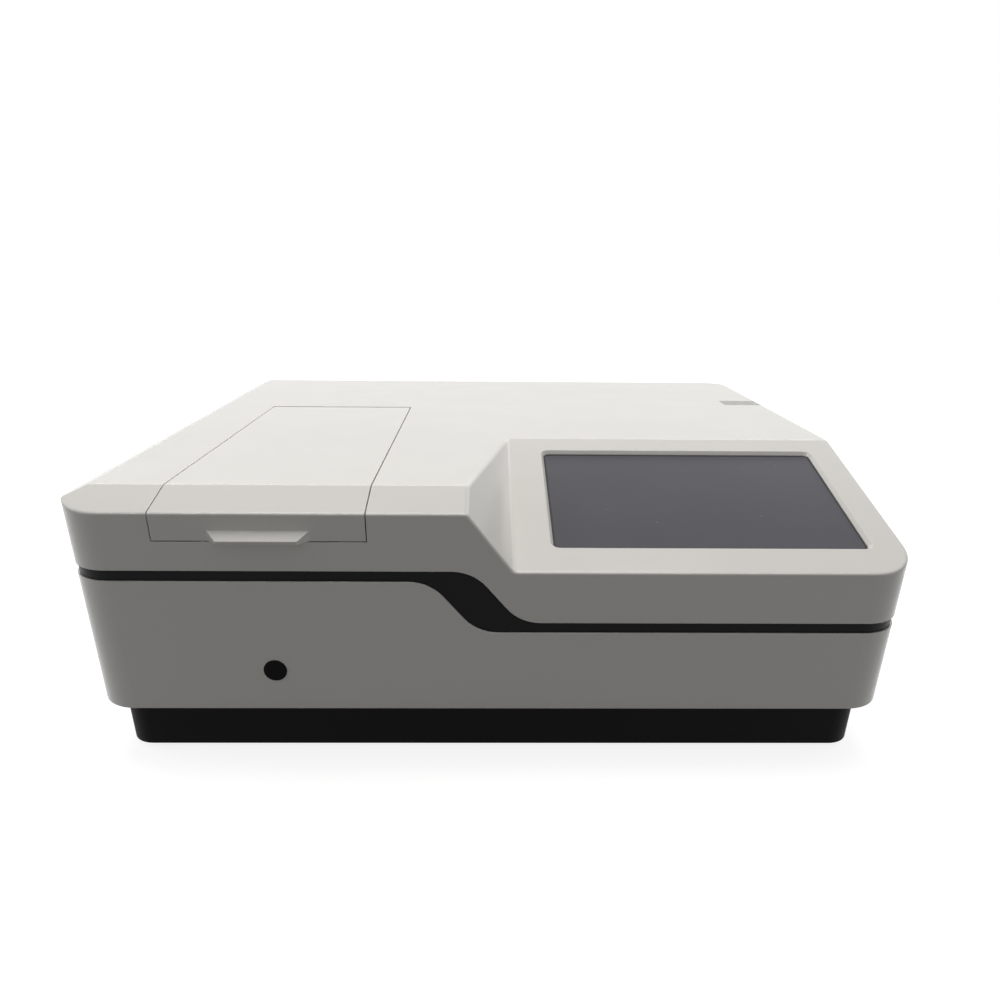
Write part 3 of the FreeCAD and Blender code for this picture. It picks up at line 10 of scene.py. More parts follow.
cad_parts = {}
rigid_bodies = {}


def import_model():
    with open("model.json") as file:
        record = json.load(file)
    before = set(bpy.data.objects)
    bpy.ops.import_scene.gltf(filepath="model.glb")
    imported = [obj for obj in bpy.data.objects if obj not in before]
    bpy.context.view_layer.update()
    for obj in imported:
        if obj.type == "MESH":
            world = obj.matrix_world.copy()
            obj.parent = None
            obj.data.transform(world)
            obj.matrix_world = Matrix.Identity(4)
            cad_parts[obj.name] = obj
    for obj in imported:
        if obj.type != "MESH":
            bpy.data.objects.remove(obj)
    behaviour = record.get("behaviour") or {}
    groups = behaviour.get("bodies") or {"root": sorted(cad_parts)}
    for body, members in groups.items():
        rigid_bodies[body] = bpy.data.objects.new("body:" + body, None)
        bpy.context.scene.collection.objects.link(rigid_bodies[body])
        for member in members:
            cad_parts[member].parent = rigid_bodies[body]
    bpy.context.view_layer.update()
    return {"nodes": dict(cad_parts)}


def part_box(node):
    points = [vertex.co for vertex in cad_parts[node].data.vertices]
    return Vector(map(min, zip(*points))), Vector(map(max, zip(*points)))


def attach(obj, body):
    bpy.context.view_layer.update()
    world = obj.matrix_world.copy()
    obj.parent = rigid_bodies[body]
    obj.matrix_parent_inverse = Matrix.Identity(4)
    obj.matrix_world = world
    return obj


bl_info = {
    "name": "Spectrophotometer Dressing",
    "version": (1, 0, 0),
    "blender": (4, 5, 0),
    "location": "3D View > Sidebar > Instrument",
    "description": "Finishes, small fittings, stage and camera of a bench instrument",
    "category": "Object",
}

for leftover in list(bpy.data.objects):
    bpy.data.objects.remove(leftover)
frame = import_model()
NODES = frame["nodes"]
MM = 0.001
NEARLY_NOTHING = 1e-6
WHITE = (1.0, 1.0, 1.0, 1.0)
REARWARD = (0, 1, 0)
DOWNWARD = (0, 0, -1)


# Sizes, colours and places that a user may change


class CameraSettings(bpy.types.PropertyGroup):
    """Where the camera stands and how it looks down."""

    place: bpy.props.FloatVectorProperty(
        name="Place", description="Camera position", default=(-0.0060, -0.6832, 0.3497),
        subtype="TRANSLATION", unit="LENGTH")
    pitch: bpy.props.FloatProperty(
        name="Pitch", description="Angle below the horizon", default=math.radians(23.14), subtype="ANGLE")
    yaw: bpy.props.FloatProperty(
        name="Yaw", description="Turn to the right of straight ahead", default=math.radians(0.81),
        subtype="ANGLE")
    roll: bpy.props.FloatProperty(
        name="Roll", description="Turn about the line of sight", default=math.radians(0.52), subtype="ANGLE")
    lens: bpy.props.FloatProperty(
        name="Lens", description="Focal length on a 36 mm sensor", default=25.93, unit="CAMERA")
    shift: bpy.props.FloatVectorProperty(
        name="Shift", description="Lens shift in widths of the picture", size=2, default=(0.005, 0.065))


class StageSettings(bpy.types.PropertyGroup):
    """Floor, sky and lamps."""

    floor_size: bpy.props.FloatProperty(
        name="Floor Size", description="Side of the square floor", default=12.0, unit="LENGTH")
    floor_tone: bpy.props.FloatProperty(
        name="Floor Tone", description="How much light the floor gives back to the instrument", default=0.17)
    seen_floor_tone: bpy.props.FloatProperty(
        name="Seen Floor Tone", description="How much light the floor gives back to the camera", default=0.40)
    sky: bpy.props.FloatProperty(name="Sky", description="Strength of the even light all round", default=0.25)
    overhead_power: bpy.props.FloatProperty(
        name="Overhead Power", description="Power of the large lamp above", default=28.0, unit="POWER")
    overhead_tilt: bpy.props.FloatProperty(
        name="Overhead Tilt", description="Lean of that lamp to the rear", default=math.radians(9),
        subtype="ANGLE")
    overhead_lean: bpy.props.FloatProperty(
        name="Overhead Lean", description="Lean of that lamp to the right", default=math.radians(-4),
        subtype="ANGLE")
    overhead_tint: bpy.props.FloatVectorProperty(
        name="Overhead Tint", description="Colour of that lamp", subtype="COLOR", size=3, min=0, max=1,
        default=(1.0, 0.985, 0.965))
    left_power: bpy.props.FloatProperty(
        name="Left Power", description="Power of the lamp at the left side", default=4.9, unit="POWER")
    right_power: bpy.props.FloatProperty(
        name="Right Power", description="Power of the lamp at the right side", default=2.6, unit="POWER")
    rear_strip_power: bpy.props.FloatProperty(
        name="Rear Strip Power", description="Power of the strip that draws the creases", default=11.0,
        unit="POWER")
    rear_strip_tilt: bpy.props.FloatProperty(
        name="Rear Strip Tilt", description="Lean of that strip to the rear", default=math.radians(56),
        subtype="ANGLE")
    front_strip_power: bpy.props.FloatProperty(
        name="Front Strip Power", description="Power of the strip that draws the front edges", default=41.0,
        unit="POWER")
    front_strip_tilt: bpy.props.FloatProperty(
        name="Front Strip Tilt", description="Lean of that strip to the rear", default=math.radians(-28),
        subtype="ANGLE")
    left_lean: bpy.props.FloatProperty(
        name="Left Lean", description="Lean of the left lamp from straight above", default=math.radians(64),
        subtype="ANGLE")
    right_lean: bpy.props.FloatProperty(
        name="Right Lean", description="Lean of the right lamp from straight above", default=math.radians(38),
        subtype="ANGLE")


class FinishSettings(bpy.types.PropertyGroup):
    """Colours and gloss of the outside."""

    casing: bpy.props.FloatVectorProperty(
        name="Casing", description="Moulded light grey of the shells and the lid", subtype="COLOR",
        size=3, min=0, max=1, default=(0.70, 0.685, 0.652))
    casing_roughness: bpy.props.FloatProperty(
        name="Casing Roughness", description="Satin of the shells", default=0.21, min=0, max=1,
        subtype="FACTOR")
    trim: bpy.props.FloatVectorProperty(
        name="Trim", description="Satin black of the band", subtype="COLOR", size=3, min=0, max=1,
        default=(0.004, 0.004, 0.005))
    plinth: bpy.props.FloatVectorProperty(
        name="Plinth", description="Powder-coated black of the tray", subtype="COLOR", size=3, min=0, max=1,
        default=(0.003, 0.003, 0.003))
    screen: bpy.props.FloatVectorProperty(
        name="Screen", description="Dark grey of the sleeping display", subtype="COLOR", size=3, min=0, max=1,
        default=(0.062, 0.060, 0.070))


class FittingSettings(bpy.types.PropertyGroup):
    """Sizes of the small fittings."""

    screw_radius: bpy.props.FloatProperty(
        name="Screw Head", description="Radius of a pan head on the outside", default=2.6*MM, unit="LENGTH")
    knob_radius: bpy.props.FloatProperty(
        name="Knob", description="Radius of a knurled knob in the compartment", default=4.5*MM, unit="LENGTH")


# Shader building


class Graph:
    """Short way to place and link nodes in one tree."""

    def __init__(self, tree):
        self.tree = tree

    def node(self, kind, inputs=None, **settings):
        """Place a node, set its options, and feed its sockets with values or other sockets."""
        made = self.tree.nodes.new(kind)
        for name, setting in settings.items():
            setattr(made, name, setting)
        for name, source in (inputs or {}).items():
            self.feed(made.inputs[name], source)
        return made

    def feed(self, socket, source):
        """Link a socket to its source, or set its value."""
        if isinstance(source, bpy.types.NodeSocket):
            self.tree.links.new(source, socket)
        else:
            socket.default_value = source

    def math(self, operation, first, second=0.0):
        """One sum of two numbers."""
        return self.node("ShaderNodeMath", {0: first, 1: second}, operation=operation).outputs[0]

    def part(self, vector, axis):
        """One of a vector's three numbers."""
        return self.node("ShaderNodeSeparateXYZ", {"Vector": vector}).outputs[axis]

    def noise(self, vector, scale, detail=2.0, roughness=0.5):
        """Cloud of values about one half."""
        inputs = {"Vector": vector, "Scale": scale, "Detail": detail, "Roughness": roughness}
        return self.node("ShaderNodeTexNoise", inputs).outputs["Fac"]

    def blend(self, factor, first, second, kind="MIX"):
        """Mix of two colours."""
        made = self.node("ShaderNodeMix", {0: factor, 6: first, 7: second}, data_type="RGBA", blend_type=kind)
        return made.outputs[2]

    def spread(self, value, low, high, to_low=0.0, to_high=1.0):
        """Value carried from one span to another and held at its ends."""
        inputs = {"Value": value, "From Min": low, "From Max": high, "To Min": to_low, "To Max": to_high}
        return self.node("ShaderNodeMapRange", inputs).outputs["Result"]

    def stretch(self, vector, scale):
        """Coordinates drawn out along the axes."""
        return self.node("ShaderNodeMapping", {"Vector": vector, "Scale": scale}).outputs["Vector"]


# Colours inside the effects and the finishes

CLOUDED = (0.94, 0.94, 0.93, 1.0)
LINE_SHADE = (0.78, 0.78, 0.78, 1.0)
DUST = (0.55, 0.53, 0.49, 1.0)
SOLDER_MASK = ((0.004, 0.060, 0.026, 1.0), (0.006, 0.090, 0.036, 1.0))
COPPER_TRACK = (0.020, 0.160, 0.060, 1.0)
GOLD_PAD = (0.75, 0.62, 0.38, 1.0)
BOARD_SPECKLE = (0.02, 0.05, 0.03, 1.0)
CAST_GREY = ((0.42, 0.42, 0.43, 1.0), (0.58, 0.58, 0.59, 1.0))
CAST_EDGE = (0.78, 0.78, 0.79, 1.0)
MIRROR_FILM = ((0.93, 0.94, 0.95, 1.0), (0.88, 0.90, 0.92, 1.0))
RULED_GREY = (0.8, 0.8, 0.85, 1.0)
SCREEN_SPECK = (0.20, 0.20, 0.20, 1.0)
FILTER_TINTS = (
    (0.9, 0.9, 0.9), (0.95, 0.75, 0.30), (0.95, 0.40, 0.10), (0.75, 0.08, 0.05), (0.35, 0.55, 0.85),
    (0.55, 0.85, 0.55),
)

SOCKETS = {"c": "NodeSocketColor", "f": "NodeSocketFloat", "v": "NodeSocketVector"}


def effect(name, inputs, outputs, build):
    """Shared node group: named inputs and outputs, and a function that fills it."""
    tree = bpy.data.node_groups.new(name, "ShaderNodeTree")
    for label, kind in inputs.items():
        tree.interface.new_socket(label, in_out="INPUT", socket_type=SOCKETS[kind])
    for label, kind in outputs.items():
        tree.interface.new_socket(label, in_out="OUTPUT", socket_type=SOCKETS[kind])
    graph = Graph(tree)
    given = graph.node("NodeGroupInput").outputs
    graph.node("NodeGroupOutput", build(graph, given))
    return tree


def moulded_effect(graph, given):
    """Slow drift of tone, drift of gloss, and the fine pebble that a mould leaves."""
    where = given["Coordinates"]
    cloud = graph.noise(where, 7.0, 3.0)
    darker = graph.blend(1.0, given["Colour"], CLOUDED, "MULTIPLY")
    tone = graph.blend(graph.math("MULTIPLY", cloud, given["Drift"]), given["Colour"], darker)
    gloss = graph.math("MULTIPLY", graph.math("SUBTRACT", graph.noise(where, 23.0, 2.0), 0.5), 0.09)
    pebble = graph.noise(where, given["Grain"], 2.0, 0.6)
    return {"Colour": tone, "Roughness": graph.math("ADD", given["Roughness"], gloss), "Height": pebble}


def brushed_effect(graph, given):
    """Fine lines drawn along one axis, in tone, gloss and height."""
    lines = graph.noise(graph.stretch(given["Coordinates"], (4.0, 260.0, 260.0)), 6.0, 3.0, 0.7)
    dark = graph.blend(1.0, given["Colour"], LINE_SHADE, "MULTIPLY")
    tone = graph.blend(graph.spread(lines, 0.3, 0.7), given["Colour"], dark)
    gloss = graph.math("ADD", given["Roughness"], graph.spread(lines, 0.2, 0.8, -0.06, 0.10))
    return {"Colour": tone, "Roughness": gloss, "Height": lines}


def edge_effect(graph, given):
    """Normal rounded over sharp edges, and a mask that is one along them."""
    rounded = graph.node("ShaderNodeBevel", {"Radius": given["Radius"]}, samples=6).outputs["Normal"]
    plain = graph.node("ShaderNodeNewGeometry").outputs["Normal"]
    dot = graph.node("ShaderNodeVectorMath", {0: rounded, 1: plain}, operation="DOT_PRODUCT").outputs["Value"]
    return {"Normal": rounded, "Edge": graph.spread(dot, 0.99, 0.82)}


def dust_effect(graph, given):
    """Pale film on faces that look up, broken by a cloud."""
    normal = graph.node("ShaderNodeNewGeometry").outputs["Normal"]
    up = graph.part(normal, "Z")
    cloud = graph.noise(given["Coordinates"], 60.0, 4.0, 0.65)
    mask = graph.math("MULTIPLY", graph.spread(up, 0.6, 1.0), graph.spread(cloud, 0.45, 0.75))
    film = graph.math("MULTIPLY", mask, given["Amount"])
    return {"Colour": graph.blend(film, given["Colour"], DUST)}


def board_effect(graph, given):
    """Solder mask over copper tracks, with rows of bright pads."""
    where = given["Coordinates"]
    tracks = graph.node("ShaderNodeTexBrick", {"Vector": where, "Scale": 180.0, "Mortar Size": 0.012,
                                               "Brick Width": 1.7, "Row Height": 0.45}).outputs["Fac"]
    cells = graph.node("ShaderNodeTexVoronoi", {"Vector": where, "Scale": 330.0, "Randomness": 0.35})
    pad = graph.math("MULTIPLY", graph.math("LESS_THAN", cells.outputs["Distance"], 0.20),
                     graph.math("GREATER_THAN", graph.noise(where, 45.0), 0.52))
    mask = graph.blend(graph.noise(where, 30.0), *SOLDER_MASK)
    tracked = graph.blend(tracks, mask, COPPER_TRACK)
    return {"Colour": graph.blend(pad, tracked, GOLD_PAD), "Metal": pad, "Height": tracks}


EFFECTS = {
    "Moulded Surface": (moulded_effect, {"Coordinates": "v", "Colour": "c", "Drift": "f", "Roughness": "f",
                                         "Grain": "f"}, {"Colour": "c", "Roughness": "f", "Height": "f"}),
    "Brushed Surface": (brushed_effect, {"Coordinates": "v", "Colour": "c", "Roughness": "f"},
                        {"Colour": "c", "Roughness": "f", "Height": "f"}),
    "Soft Edge": (edge_effect, {"Radius": "f"}, {"Normal": "v", "Edge": "f"}),
    "Settled Dust": (dust_effect, {"Coordinates": "v", "Colour": "c", "Amount": "f"}, {"Colour": "c"}),
    "Board Tracks": (board_effect, {"Coordinates": "v"}, {"Colour": "c", "Metal": "f", "Height": "f"}),
}


def use(graph, name, inputs):
    """Place a shared effect in a material and return its outputs."""
    group = bpy.data.node_groups.get(name)
    if group is None:
        build, takes, gives = EFFECTS[name]
        group = effect(name, takes, gives, build)
    return graph.node("ShaderNodeGroup", inputs, node_tree=group).outputs


def blank(name):
    """New material with an empty graph."""
    made = bpy.data.materials.new(name)
    made.use_nodes = True
    made.node_tree.nodes.clear()
    return made, Graph(made.node_tree)


def start(name, **constants):
    """New material with its shader, its graph and the object's own coordinates."""
    made, graph = blank(name)
    shader = graph.node("ShaderNodeBsdfPrincipled", constants)
    graph.node("ShaderNodeOutputMaterial", {"Surface": shader.outputs["BSDF"]})
    where = graph.node("ShaderNodeTexCoord").outputs["Object"]
    return made, graph, shader, where


def relief(graph, shader, height, normal, strength, depth):
    """Fine height on top of the rounded edges, given to the shader."""
    inputs = {"Height": height, "Normal": normal, "Strength": strength, "Distance": depth}
    bump = graph.node("ShaderNodeBump", inputs)
    graph.feed(shader.inputs["Normal"], bump.outputs["Normal"])


def rgba(colour):
    """Colour with full alpha."""
    return (*colour, 1.0)


def moulded(name, colour, roughness, grain=900.0, depth=0.03*MM, drift=0.7, edge=0.5*MM, edge_tone=0.0,
            dust=0.0, **constants):
    """Plastic, paint or rubber with a fine pebble and softened edges, painted lighter along them: partly
    wear, partly a painted highlight.
    """
    made, graph, shader, where = start(name, **constants)
    surface = use(graph, "Moulded Surface", {"Coordinates": where, "Colour": rgba(colour), "Drift": drift,
                                             "Roughness": roughness, "Grain": grain})
    corner = use(graph, "Soft Edge", {"Radius": edge})
    # Edges painted lighter: wear on the dark finishes, painted highlight lines on the light casing and the
    # band.
    lighter = tuple(min(1.0, part*1.6 + 0.02) for part in colour)
    edge_wear_and_highlight = graph.blend(graph.math("MULTIPLY", corner["Edge"], edge_tone), surface["Colour"], rgba(lighter))
    dusty = use(graph, "Settled Dust", {"Coordinates": where, "Colour": edge_wear_and_highlight, "Amount": dust})
    graph.feed(shader.inputs["Base Color"], dusty["Colour"])
    graph.feed(shader.inputs["Roughness"], surface["Roughness"])
    relief(graph, shader, surface["Height"], corner["Normal"], 0.6, depth)
    return made


def metal(name, colour, roughness, edge=0.3*MM):
    """Bare or plated metal with drawn lines and bright edges."""
    made, graph, shader, where = start(name, Metallic=1.0)
    inputs = {"Coordinates": where, "Colour": rgba(colour), "Roughness": roughness}
    surface = use(graph, "Brushed Surface", inputs)
    corner = use(graph, "Soft Edge", {"Radius": edge})
    bright = tuple(min(1.0, part*1.25) for part in colour)
    graph.feed(shader.inputs["Base Color"], graph.blend(corner["Edge"], surface["Colour"], rgba(bright)))
    graph.feed(shader.inputs["Roughness"], surface["Roughness"])
    relief(graph, shader, surface["Height"], corner["Normal"], 0.5, 0.01*MM)
    return made


def cast_metal(name):
    """Cast plate with skimmed faces: cloudy grey with shallow pits."""
    made, graph, shader, where = start(name, Metallic=1.0)
    cloud = graph.noise(where, 35.0, 5.0, 0.65)
    pits = graph.noise(where, 700.0, 3.0, 0.7)
    corner = use(graph, "Soft Edge", {"Radius": 0.6*MM})
    tone = graph.blend(cloud, *CAST_GREY)
    graph.feed(shader.inputs["Base Color"], graph.blend(corner["Edge"], tone, CAST_EDGE))
    graph.feed(shader.inputs["Roughness"], graph.spread(cloud, 0.3, 0.7, 0.36, 0.52))
    relief(graph, shader, pits, corner["Normal"], 0.6, 0.06*MM)
    return made


def circuit_board(name):
    """Green board with tracks and pads under a clear lacquer."""
    made, graph, shader, where = start(name)
    tracks = use(graph, "Board Tracks", {"Coordinates": where})
    corner = use(graph, "Soft Edge", {"Radius": 0.2*MM})
    speckle = graph.noise(where, 500.0, 3.0)
    colour = graph.blend(graph.math("MULTIPLY", speckle, 0.15), tracks["Colour"], BOARD_SPECKLE)
    graph.feed(shader.inputs["Base Color"], colour)
    graph.feed(shader.inputs["Metallic"], tracks["Metal"])
    graph.feed(shader.inputs["Roughness"], graph.spread(speckle, 0.3, 0.7, 0.28, 0.40))
    relief(graph, shader, tracks["Height"], corner["Normal"], 0.4, 0.03*MM)
    return made


def clear(name, tint, roughness):
    """Glass with a faint haze of fingerprints in its gloss."""
    made, graph, shader, where = start(name, **{"Transmission Weight": 1.0, "IOR": 1.46})
    haze = graph.noise(where, 90.0, 4.0, 0.6)
    graph.feed(shader.inputs["Base Color"], graph.blend(haze, rgba(tint), rgba([part*0.97 for part in tint])))
    graph.feed(shader.inputs["Roughness"], graph.spread(haze, 0.35, 0.75, roughness, roughness + 0.05))
    return made


def filter_glass(name):
    """Round filters, each tinted by its turn round the wheel's axle."""
    made, graph, shader, where = start(name, **{"Transmission Weight": 1.0, "IOR": 1.5})
    low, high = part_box("filter_wheel")
    middle = (low + high)/2
    from_axle = graph.node("ShaderNodeVectorMath", {0: where, 1: tuple(middle)}, operation="SUBTRACT")
    local = from_axle.outputs["Vector"]
    turn = graph.math("ARCTAN2", graph.part(local, "Y"), graph.part(local, "Z"))
    share = graph.math("FRACT", graph.math("ADD", graph.math("DIVIDE", turn, math.tau), 1.0))
    ramp = graph.node("ShaderNodeValToRGB", {"Fac": share})
    ramp.color_ramp.interpolation = "CONSTANT"
    half_step = 0.5/len(FILTER_TINTS)
    for number, tint in enumerate(FILTER_TINTS):
        spot = ramp.color_ramp.elements[number] if number < 2 else ramp.color_ramp.elements.new(0.99)
        spot.position = number/len(FILTER_TINTS) + (half_step if number else 0.0)
        spot.color = rgba(tint)
    graph.feed(shader.inputs["Base Color"], ramp.outputs["Color"])
    graph.feed(shader.inputs["Roughness"], graph.spread(graph.noise(where, 200.0), 0.3, 0.7, 0.02, 0.06))
    return made


def mirror_metal(name):
    """First-surface mirror: bright film, faint sleeks in its gloss."""
    made, graph, shader, where = start(name, Metallic=1.0)
    haze = graph.noise(where, 120.0, 5.0, 0.6)
    graph.feed(shader.inputs["Base Color"], graph.blend(haze, *MIRROR_FILM))
    graph.feed(shader.inputs["Roughness"], graph.spread(haze, 0.3, 0.8, 0.03, 0.09))
    return made


def ruled_glass(name):
    """Diffraction grating: bright film with a painted reflection of diffracted light, a tint that runs
    through the spectrum across its face.
    """
    made, graph, shader, where = start(name, Metallic=1.0)
    low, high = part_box("grating")
    # Painted reflection: the spectrum of diffracted light is laid into the colour along the grating's width.
    run = graph.spread(graph.part(where, "X"), low.x, high.x, 0.0, 0.8)
    painted_spectrum = graph.node("ShaderNodeCombineColor", {0: run, 1: 0.45, 2: 0.85}, mode="HSV").outputs["Color"]
    rules = graph.noise(graph.stretch(where, (3000.0, 3000.0, 10.0)), 1.0)
    graph.feed(shader.inputs["Base Color"], graph.blend(rules, painted_spectrum, RULED_GREY))
    graph.feed(shader.inputs["Roughness"], graph.spread(rules, 0.3, 0.7, 0.10, 0.22))
    return made


def screen_glass(name, colour):
    """Sleeping display under a matt touch film: fine speckle, a few specks of dust, and a painted reflection
    that makes it paler to the right.
    """
    made, graph, shader, where = start(name, **{"Specular IOR Level": 0.15})
    speckle = graph.noise(where, 1900.0, 2.0, 0.7)
    cloud = graph.noise(where, 5.0, 2.0)
    lighter = tuple(part*1.35 for part in colour)
    grainy = graph.blend(graph.spread(speckle, 0.25, 0.75), rgba(colour), rgba(lighter))
    darker = tuple(part*0.88 for part in colour)
    clouded = graph.blend(graph.spread(cloud, 0.35, 0.65, 0.0, 0.8), grainy, rgba(darker))
    cells = graph.node("ShaderNodeTexVoronoi", {"Vector": where, "Scale": 55.0}).outputs["Distance"]
    speck = graph.math("LESS_THAN", cells, 0.030)
    low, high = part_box("touch_glass")
    # Painted reflection: the colour grows paler towards the right, as if the glass mirrored the bright
    # backdrop there.
    painted_reflection_ramp = graph.spread(graph.part(where, "X"), low.x, high.x, 0.0, 0.8)
    painted_sheen = graph.blend(painted_reflection_ramp, clouded, rgba(lighter))
    graph.feed(shader.inputs["Base Color"], graph.blend(speck, painted_sheen, SCREEN_SPECK))
    graph.feed(shader.inputs["Roughness"], graph.spread(speckle, 0.3, 0.7, 0.30, 0.42))
    bump = graph.node("ShaderNodeBump", {"Height": speckle, "Strength": 0.15, "Distance": 0.02*MM})
    graph.feed(shader.inputs["Normal"], bump.outputs["Normal"])
    return made


def finishes(settings):
    """Every material of the instrument, by the name of its finish."""
    casing = tuple(settings.casing)
    gloss = settings.casing_roughness
    return {
        # The casing's edge tone paints highlight lines along its sharp edges.
        "casing": moulded("casing_plastic", casing, gloss, edge=0.9*MM, edge_tone=0.35, drift=0.8,
                          **{"Specular IOR Level": 0.40}),
        "trim": moulded("trim_plastic", tuple(settings.trim), 0.34, grain=600.0, edge=0.3*MM, edge_tone=0.3,
                        **{"Specular IOR Level": 0.09}),
        "plinth": moulded("plinth_paint", tuple(settings.plinth), 0.50, grain=1300.0, depth=0.10*MM,
                          edge=0.6*MM, edge_tone=0.5, dust=0.03, **{"Specular IOR Level": 0.06}),
        "rubber": moulded("foot_rubber", (0.018, 0.018, 0.018), 0.75, grain=1600.0, depth=0.12*MM, dust=0.10),
        "seal": moulded("seal_foam", (0.022, 0.022, 0.023), 0.85, grain=2400.0, depth=0.3*MM),
        "tub": moulded("compartment_paint", (0.016, 0.016, 0.017), 0.55, grain=1100.0, depth=0.10*MM,
                       edge=0.5*MM, edge_tone=0.35, dust=0.05),
        "black": moulded("black_plastic", (0.014, 0.014, 0.015), 0.38, grain=1000.0, edge=0.3*MM,
                         edge_tone=0.2),
        # Black blanking plug darkened to almost nothing and nearly without gloss: partly its own black,
        # partly painted shade of the open port.
        "plug": moulded("plug_plastic_painted_shade", (0.002, 0.002, 0.002), 0.60, edge=0.3*MM,
                        **{"Specular IOR Level": 0.05}),
        "rocker": moulded("rocker_plastic", (0.020, 0.020, 0.021), 0.22, grain=400.0, edge=0.5*MM),
        "panel": moulded("panel_paint", (0.60, 0.60, 0.58), 0.45, grain=1400.0, depth=0.08*MM, edge=0.3*MM),
        "ceramic": moulded("lamp_ceramic", (0.80, 0.78, 0.73), 0.30, grain=300.0, edge=0.5*MM, edge_tone=0.2),
        "steel": metal("plated_steel", (0.62, 0.62, 0.63), 0.28),
        "black_metal": metal("blackened_steel", (0.060, 0.060, 0.062), 0.42),
        "anodised": moulded("black_anodising", (0.013, 0.013, 0.014), 0.36, grain=1800.0, edge=0.4*MM,
                            edge_tone=0.6, Metallic=0.55),
        "aluminium": metal("machined_aluminium", (0.80, 0.81, 0.82), 0.32, edge=0.5*MM),
        "brass": metal("turned_brass", (0.78, 0.57, 0.26), 0.24, edge=0.3*MM),
        "galvanised": metal("galvanised_sheet", (0.66, 0.67, 0.68), 0.38, edge=0.3*MM),
        "cast": cast_metal("cast_bench"),
        "board": circuit_board("circuit_board"),
        "glass": clear("window_glass", (0.98, 0.99, 0.98), 0.01),
        "quartz": clear("lamp_quartz", (0.97, 0.97, 1.0), 0.02),
        "filters": filter_glass("filter_glass"),
        "mirror": mirror_metal("mirror_film"),
        "grating": ruled_glass("ruled_film"),
        "screen": screen_glass("display_film", tuple(settings.screen)),
    }


FINISH_OF = {
    "casing": ("upper_shell", "lower_shell", "sample_lid"),
    "trim": ("trim_band",),
    "plinth": ("base_tray",),
    "rubber": ("rubber_feet",),
    "seal": ("lid_seal",),
    "tub": ("compartment_tub",),
    "plug": ("port_plug",),
    "black": ("mains_inlet", "fuse_drawer", "fan_frame", "fan_rotor", "data_sockets", "display_module"),
    "rocker": ("power_rocker",),
    "panel": ("rear_panel",),
    "ceramic": ("lamp_sockets",),
    "steel": ("foot_screws", "lid_hinge_pins", "lid_hinge_brackets", "board_standoffs", "display_frame",
              "filter_motor_bracket", "grating_bearing"),
    "black_metal": ("source_mirror_motor", "grating_motor", "filter_wheel_motor"),
    "anodised": ("cell_holders", "cell_base_plate", "entrance_slit", "exit_slit", "lens_mounts",
                 "mirror_mounts", "fold_mirror_mounts", "splitter_mount", "filter_wheel", "beam_detectors"),
    "aluminium": ("bench_mounts", "grating_turntable", "lamp_house"),
    "brass": ("grating_pinion", "inlet_blades"),
    "galvanised": ("power_supply",),
    "cast": ("optical_bench",),
    "board": ("display_board", "main_board", "preamp_board"),
    "glass": ("beam_windows", "detector_lenses", "beam_splitter"),
    "quartz": ("deuterium_lamp", "halogen_lamp"),
    "filters": ("filter_glasses",),
    "mirror": ("source_mirror", "collimating_mirror", "focusing_mirror", "fold_mirrors"),
    "grating": ("grating",),
    "screen": ("touch_glass",),
}


def finish_material(key):
    """Material of one finish."""
    made = bpy.context.scene.get("instrument_finishes")
    return bpy.data.materials[made[key]]


# Meshes worked out as arrays


def grid_faces(strips, rows, columns):
    """Quads between neighbouring rows of a grid that wraps round both ways, for its first strips."""
    row, column = np.meshgrid(np.arange(strips), np.arange(columns), indexing="ij")
    above, beside = (row + 1) % rows, (column + 1) % columns
    corners = [row*columns + column, row*columns + beside, above*columns + beside, above*columns + column]
    return np.stack(corners, -1).reshape(-1, 4).tolist()


def shell_faces(rows, columns):
    """Quads of a grid that wraps round its columns, with a fan to a pole at each end.
    They face outward where the profile rises."""
    quads = grid_faces(rows - 1, rows, columns)
    spokes = np.arange(columns)
    onward = (spokes + 1) % columns
    low_pole, high_pole = rows*columns, rows*columns + 1
    last = (rows - 1)*columns
    low_fan = np.stack([onward, spokes, np.full(columns, low_pole)], -1)
    high_fan = np.stack([last + spokes, last + onward, np.full(columns, high_pole)], -1)
    return quads + low_fan.tolist() + high_fan.tolist()


def turned(radii, heights, angles, shape=None):
    """Shell of revolution: each ring has one radius and height. Shape scales the radius by ring and angle.
    A point is (r cos a, r sin a, h); the two poles lie on the axis at the first and last heights."""
    radii, heights = np.asarray(radii, float), np.asarray(heights, float)
    reach = radii[:, None]*(np.ones((len(radii), len(angles))) if shape is None else shape)
    rise = np.broadcast_to(heights[:, None], reach.shape)
    rings = np.stack([reach*np.cos(angles), reach*np.sin(angles), rise], -1)
    poles = np.array([[0, 0, heights[0]], [0, 0, heights[-1]]])
    return np.vstack([rings.reshape(-1, 3), poles]), shell_faces(len(radii), len(angles))


def basis(axis):
    """Columns that carry +Z onto an axis."""
    turn = Vector((0, 0, 1)).rotation_difference(Vector(axis)).to_matrix()
    return np.array(turn)


def repeat(form, places, axis=(0, 0, 1)):
    """Copies of one form, its +Z turned to an axis, at each place in metres."""
    points, faces = form
    turned_points = points @ basis(axis).T
    count = len(points)
    spots = np.asarray(places, float)
    every = (turned_points[None] + spots[:, None]).reshape(-1, 3)
    copies = [[corner + count*number for corner in face] for number in range(len(spots)) for face in faces]
    return every, copies


def rounded(half_x, half_y, radius, steps=8):
    """Anticlockwise outline of a rectangle with round corners: a quarter circle about each one's centre."""
    bend = np.linspace(0, math.pi/2, steps)
    quarters = []
    for number, (side_x, side_y) in enumerate(((1, 1), (-1, 1), (-1, -1), (1, -1))):
        centre = np.array([side_x*(half_x - radius), side_y*(half_y - radius)])
        angles = bend + number*math.pi/2
        quarters.append(centre + radius*np.stack([np.cos(angles), np.sin(angles)], -1))
    return np.vstack(quarters)


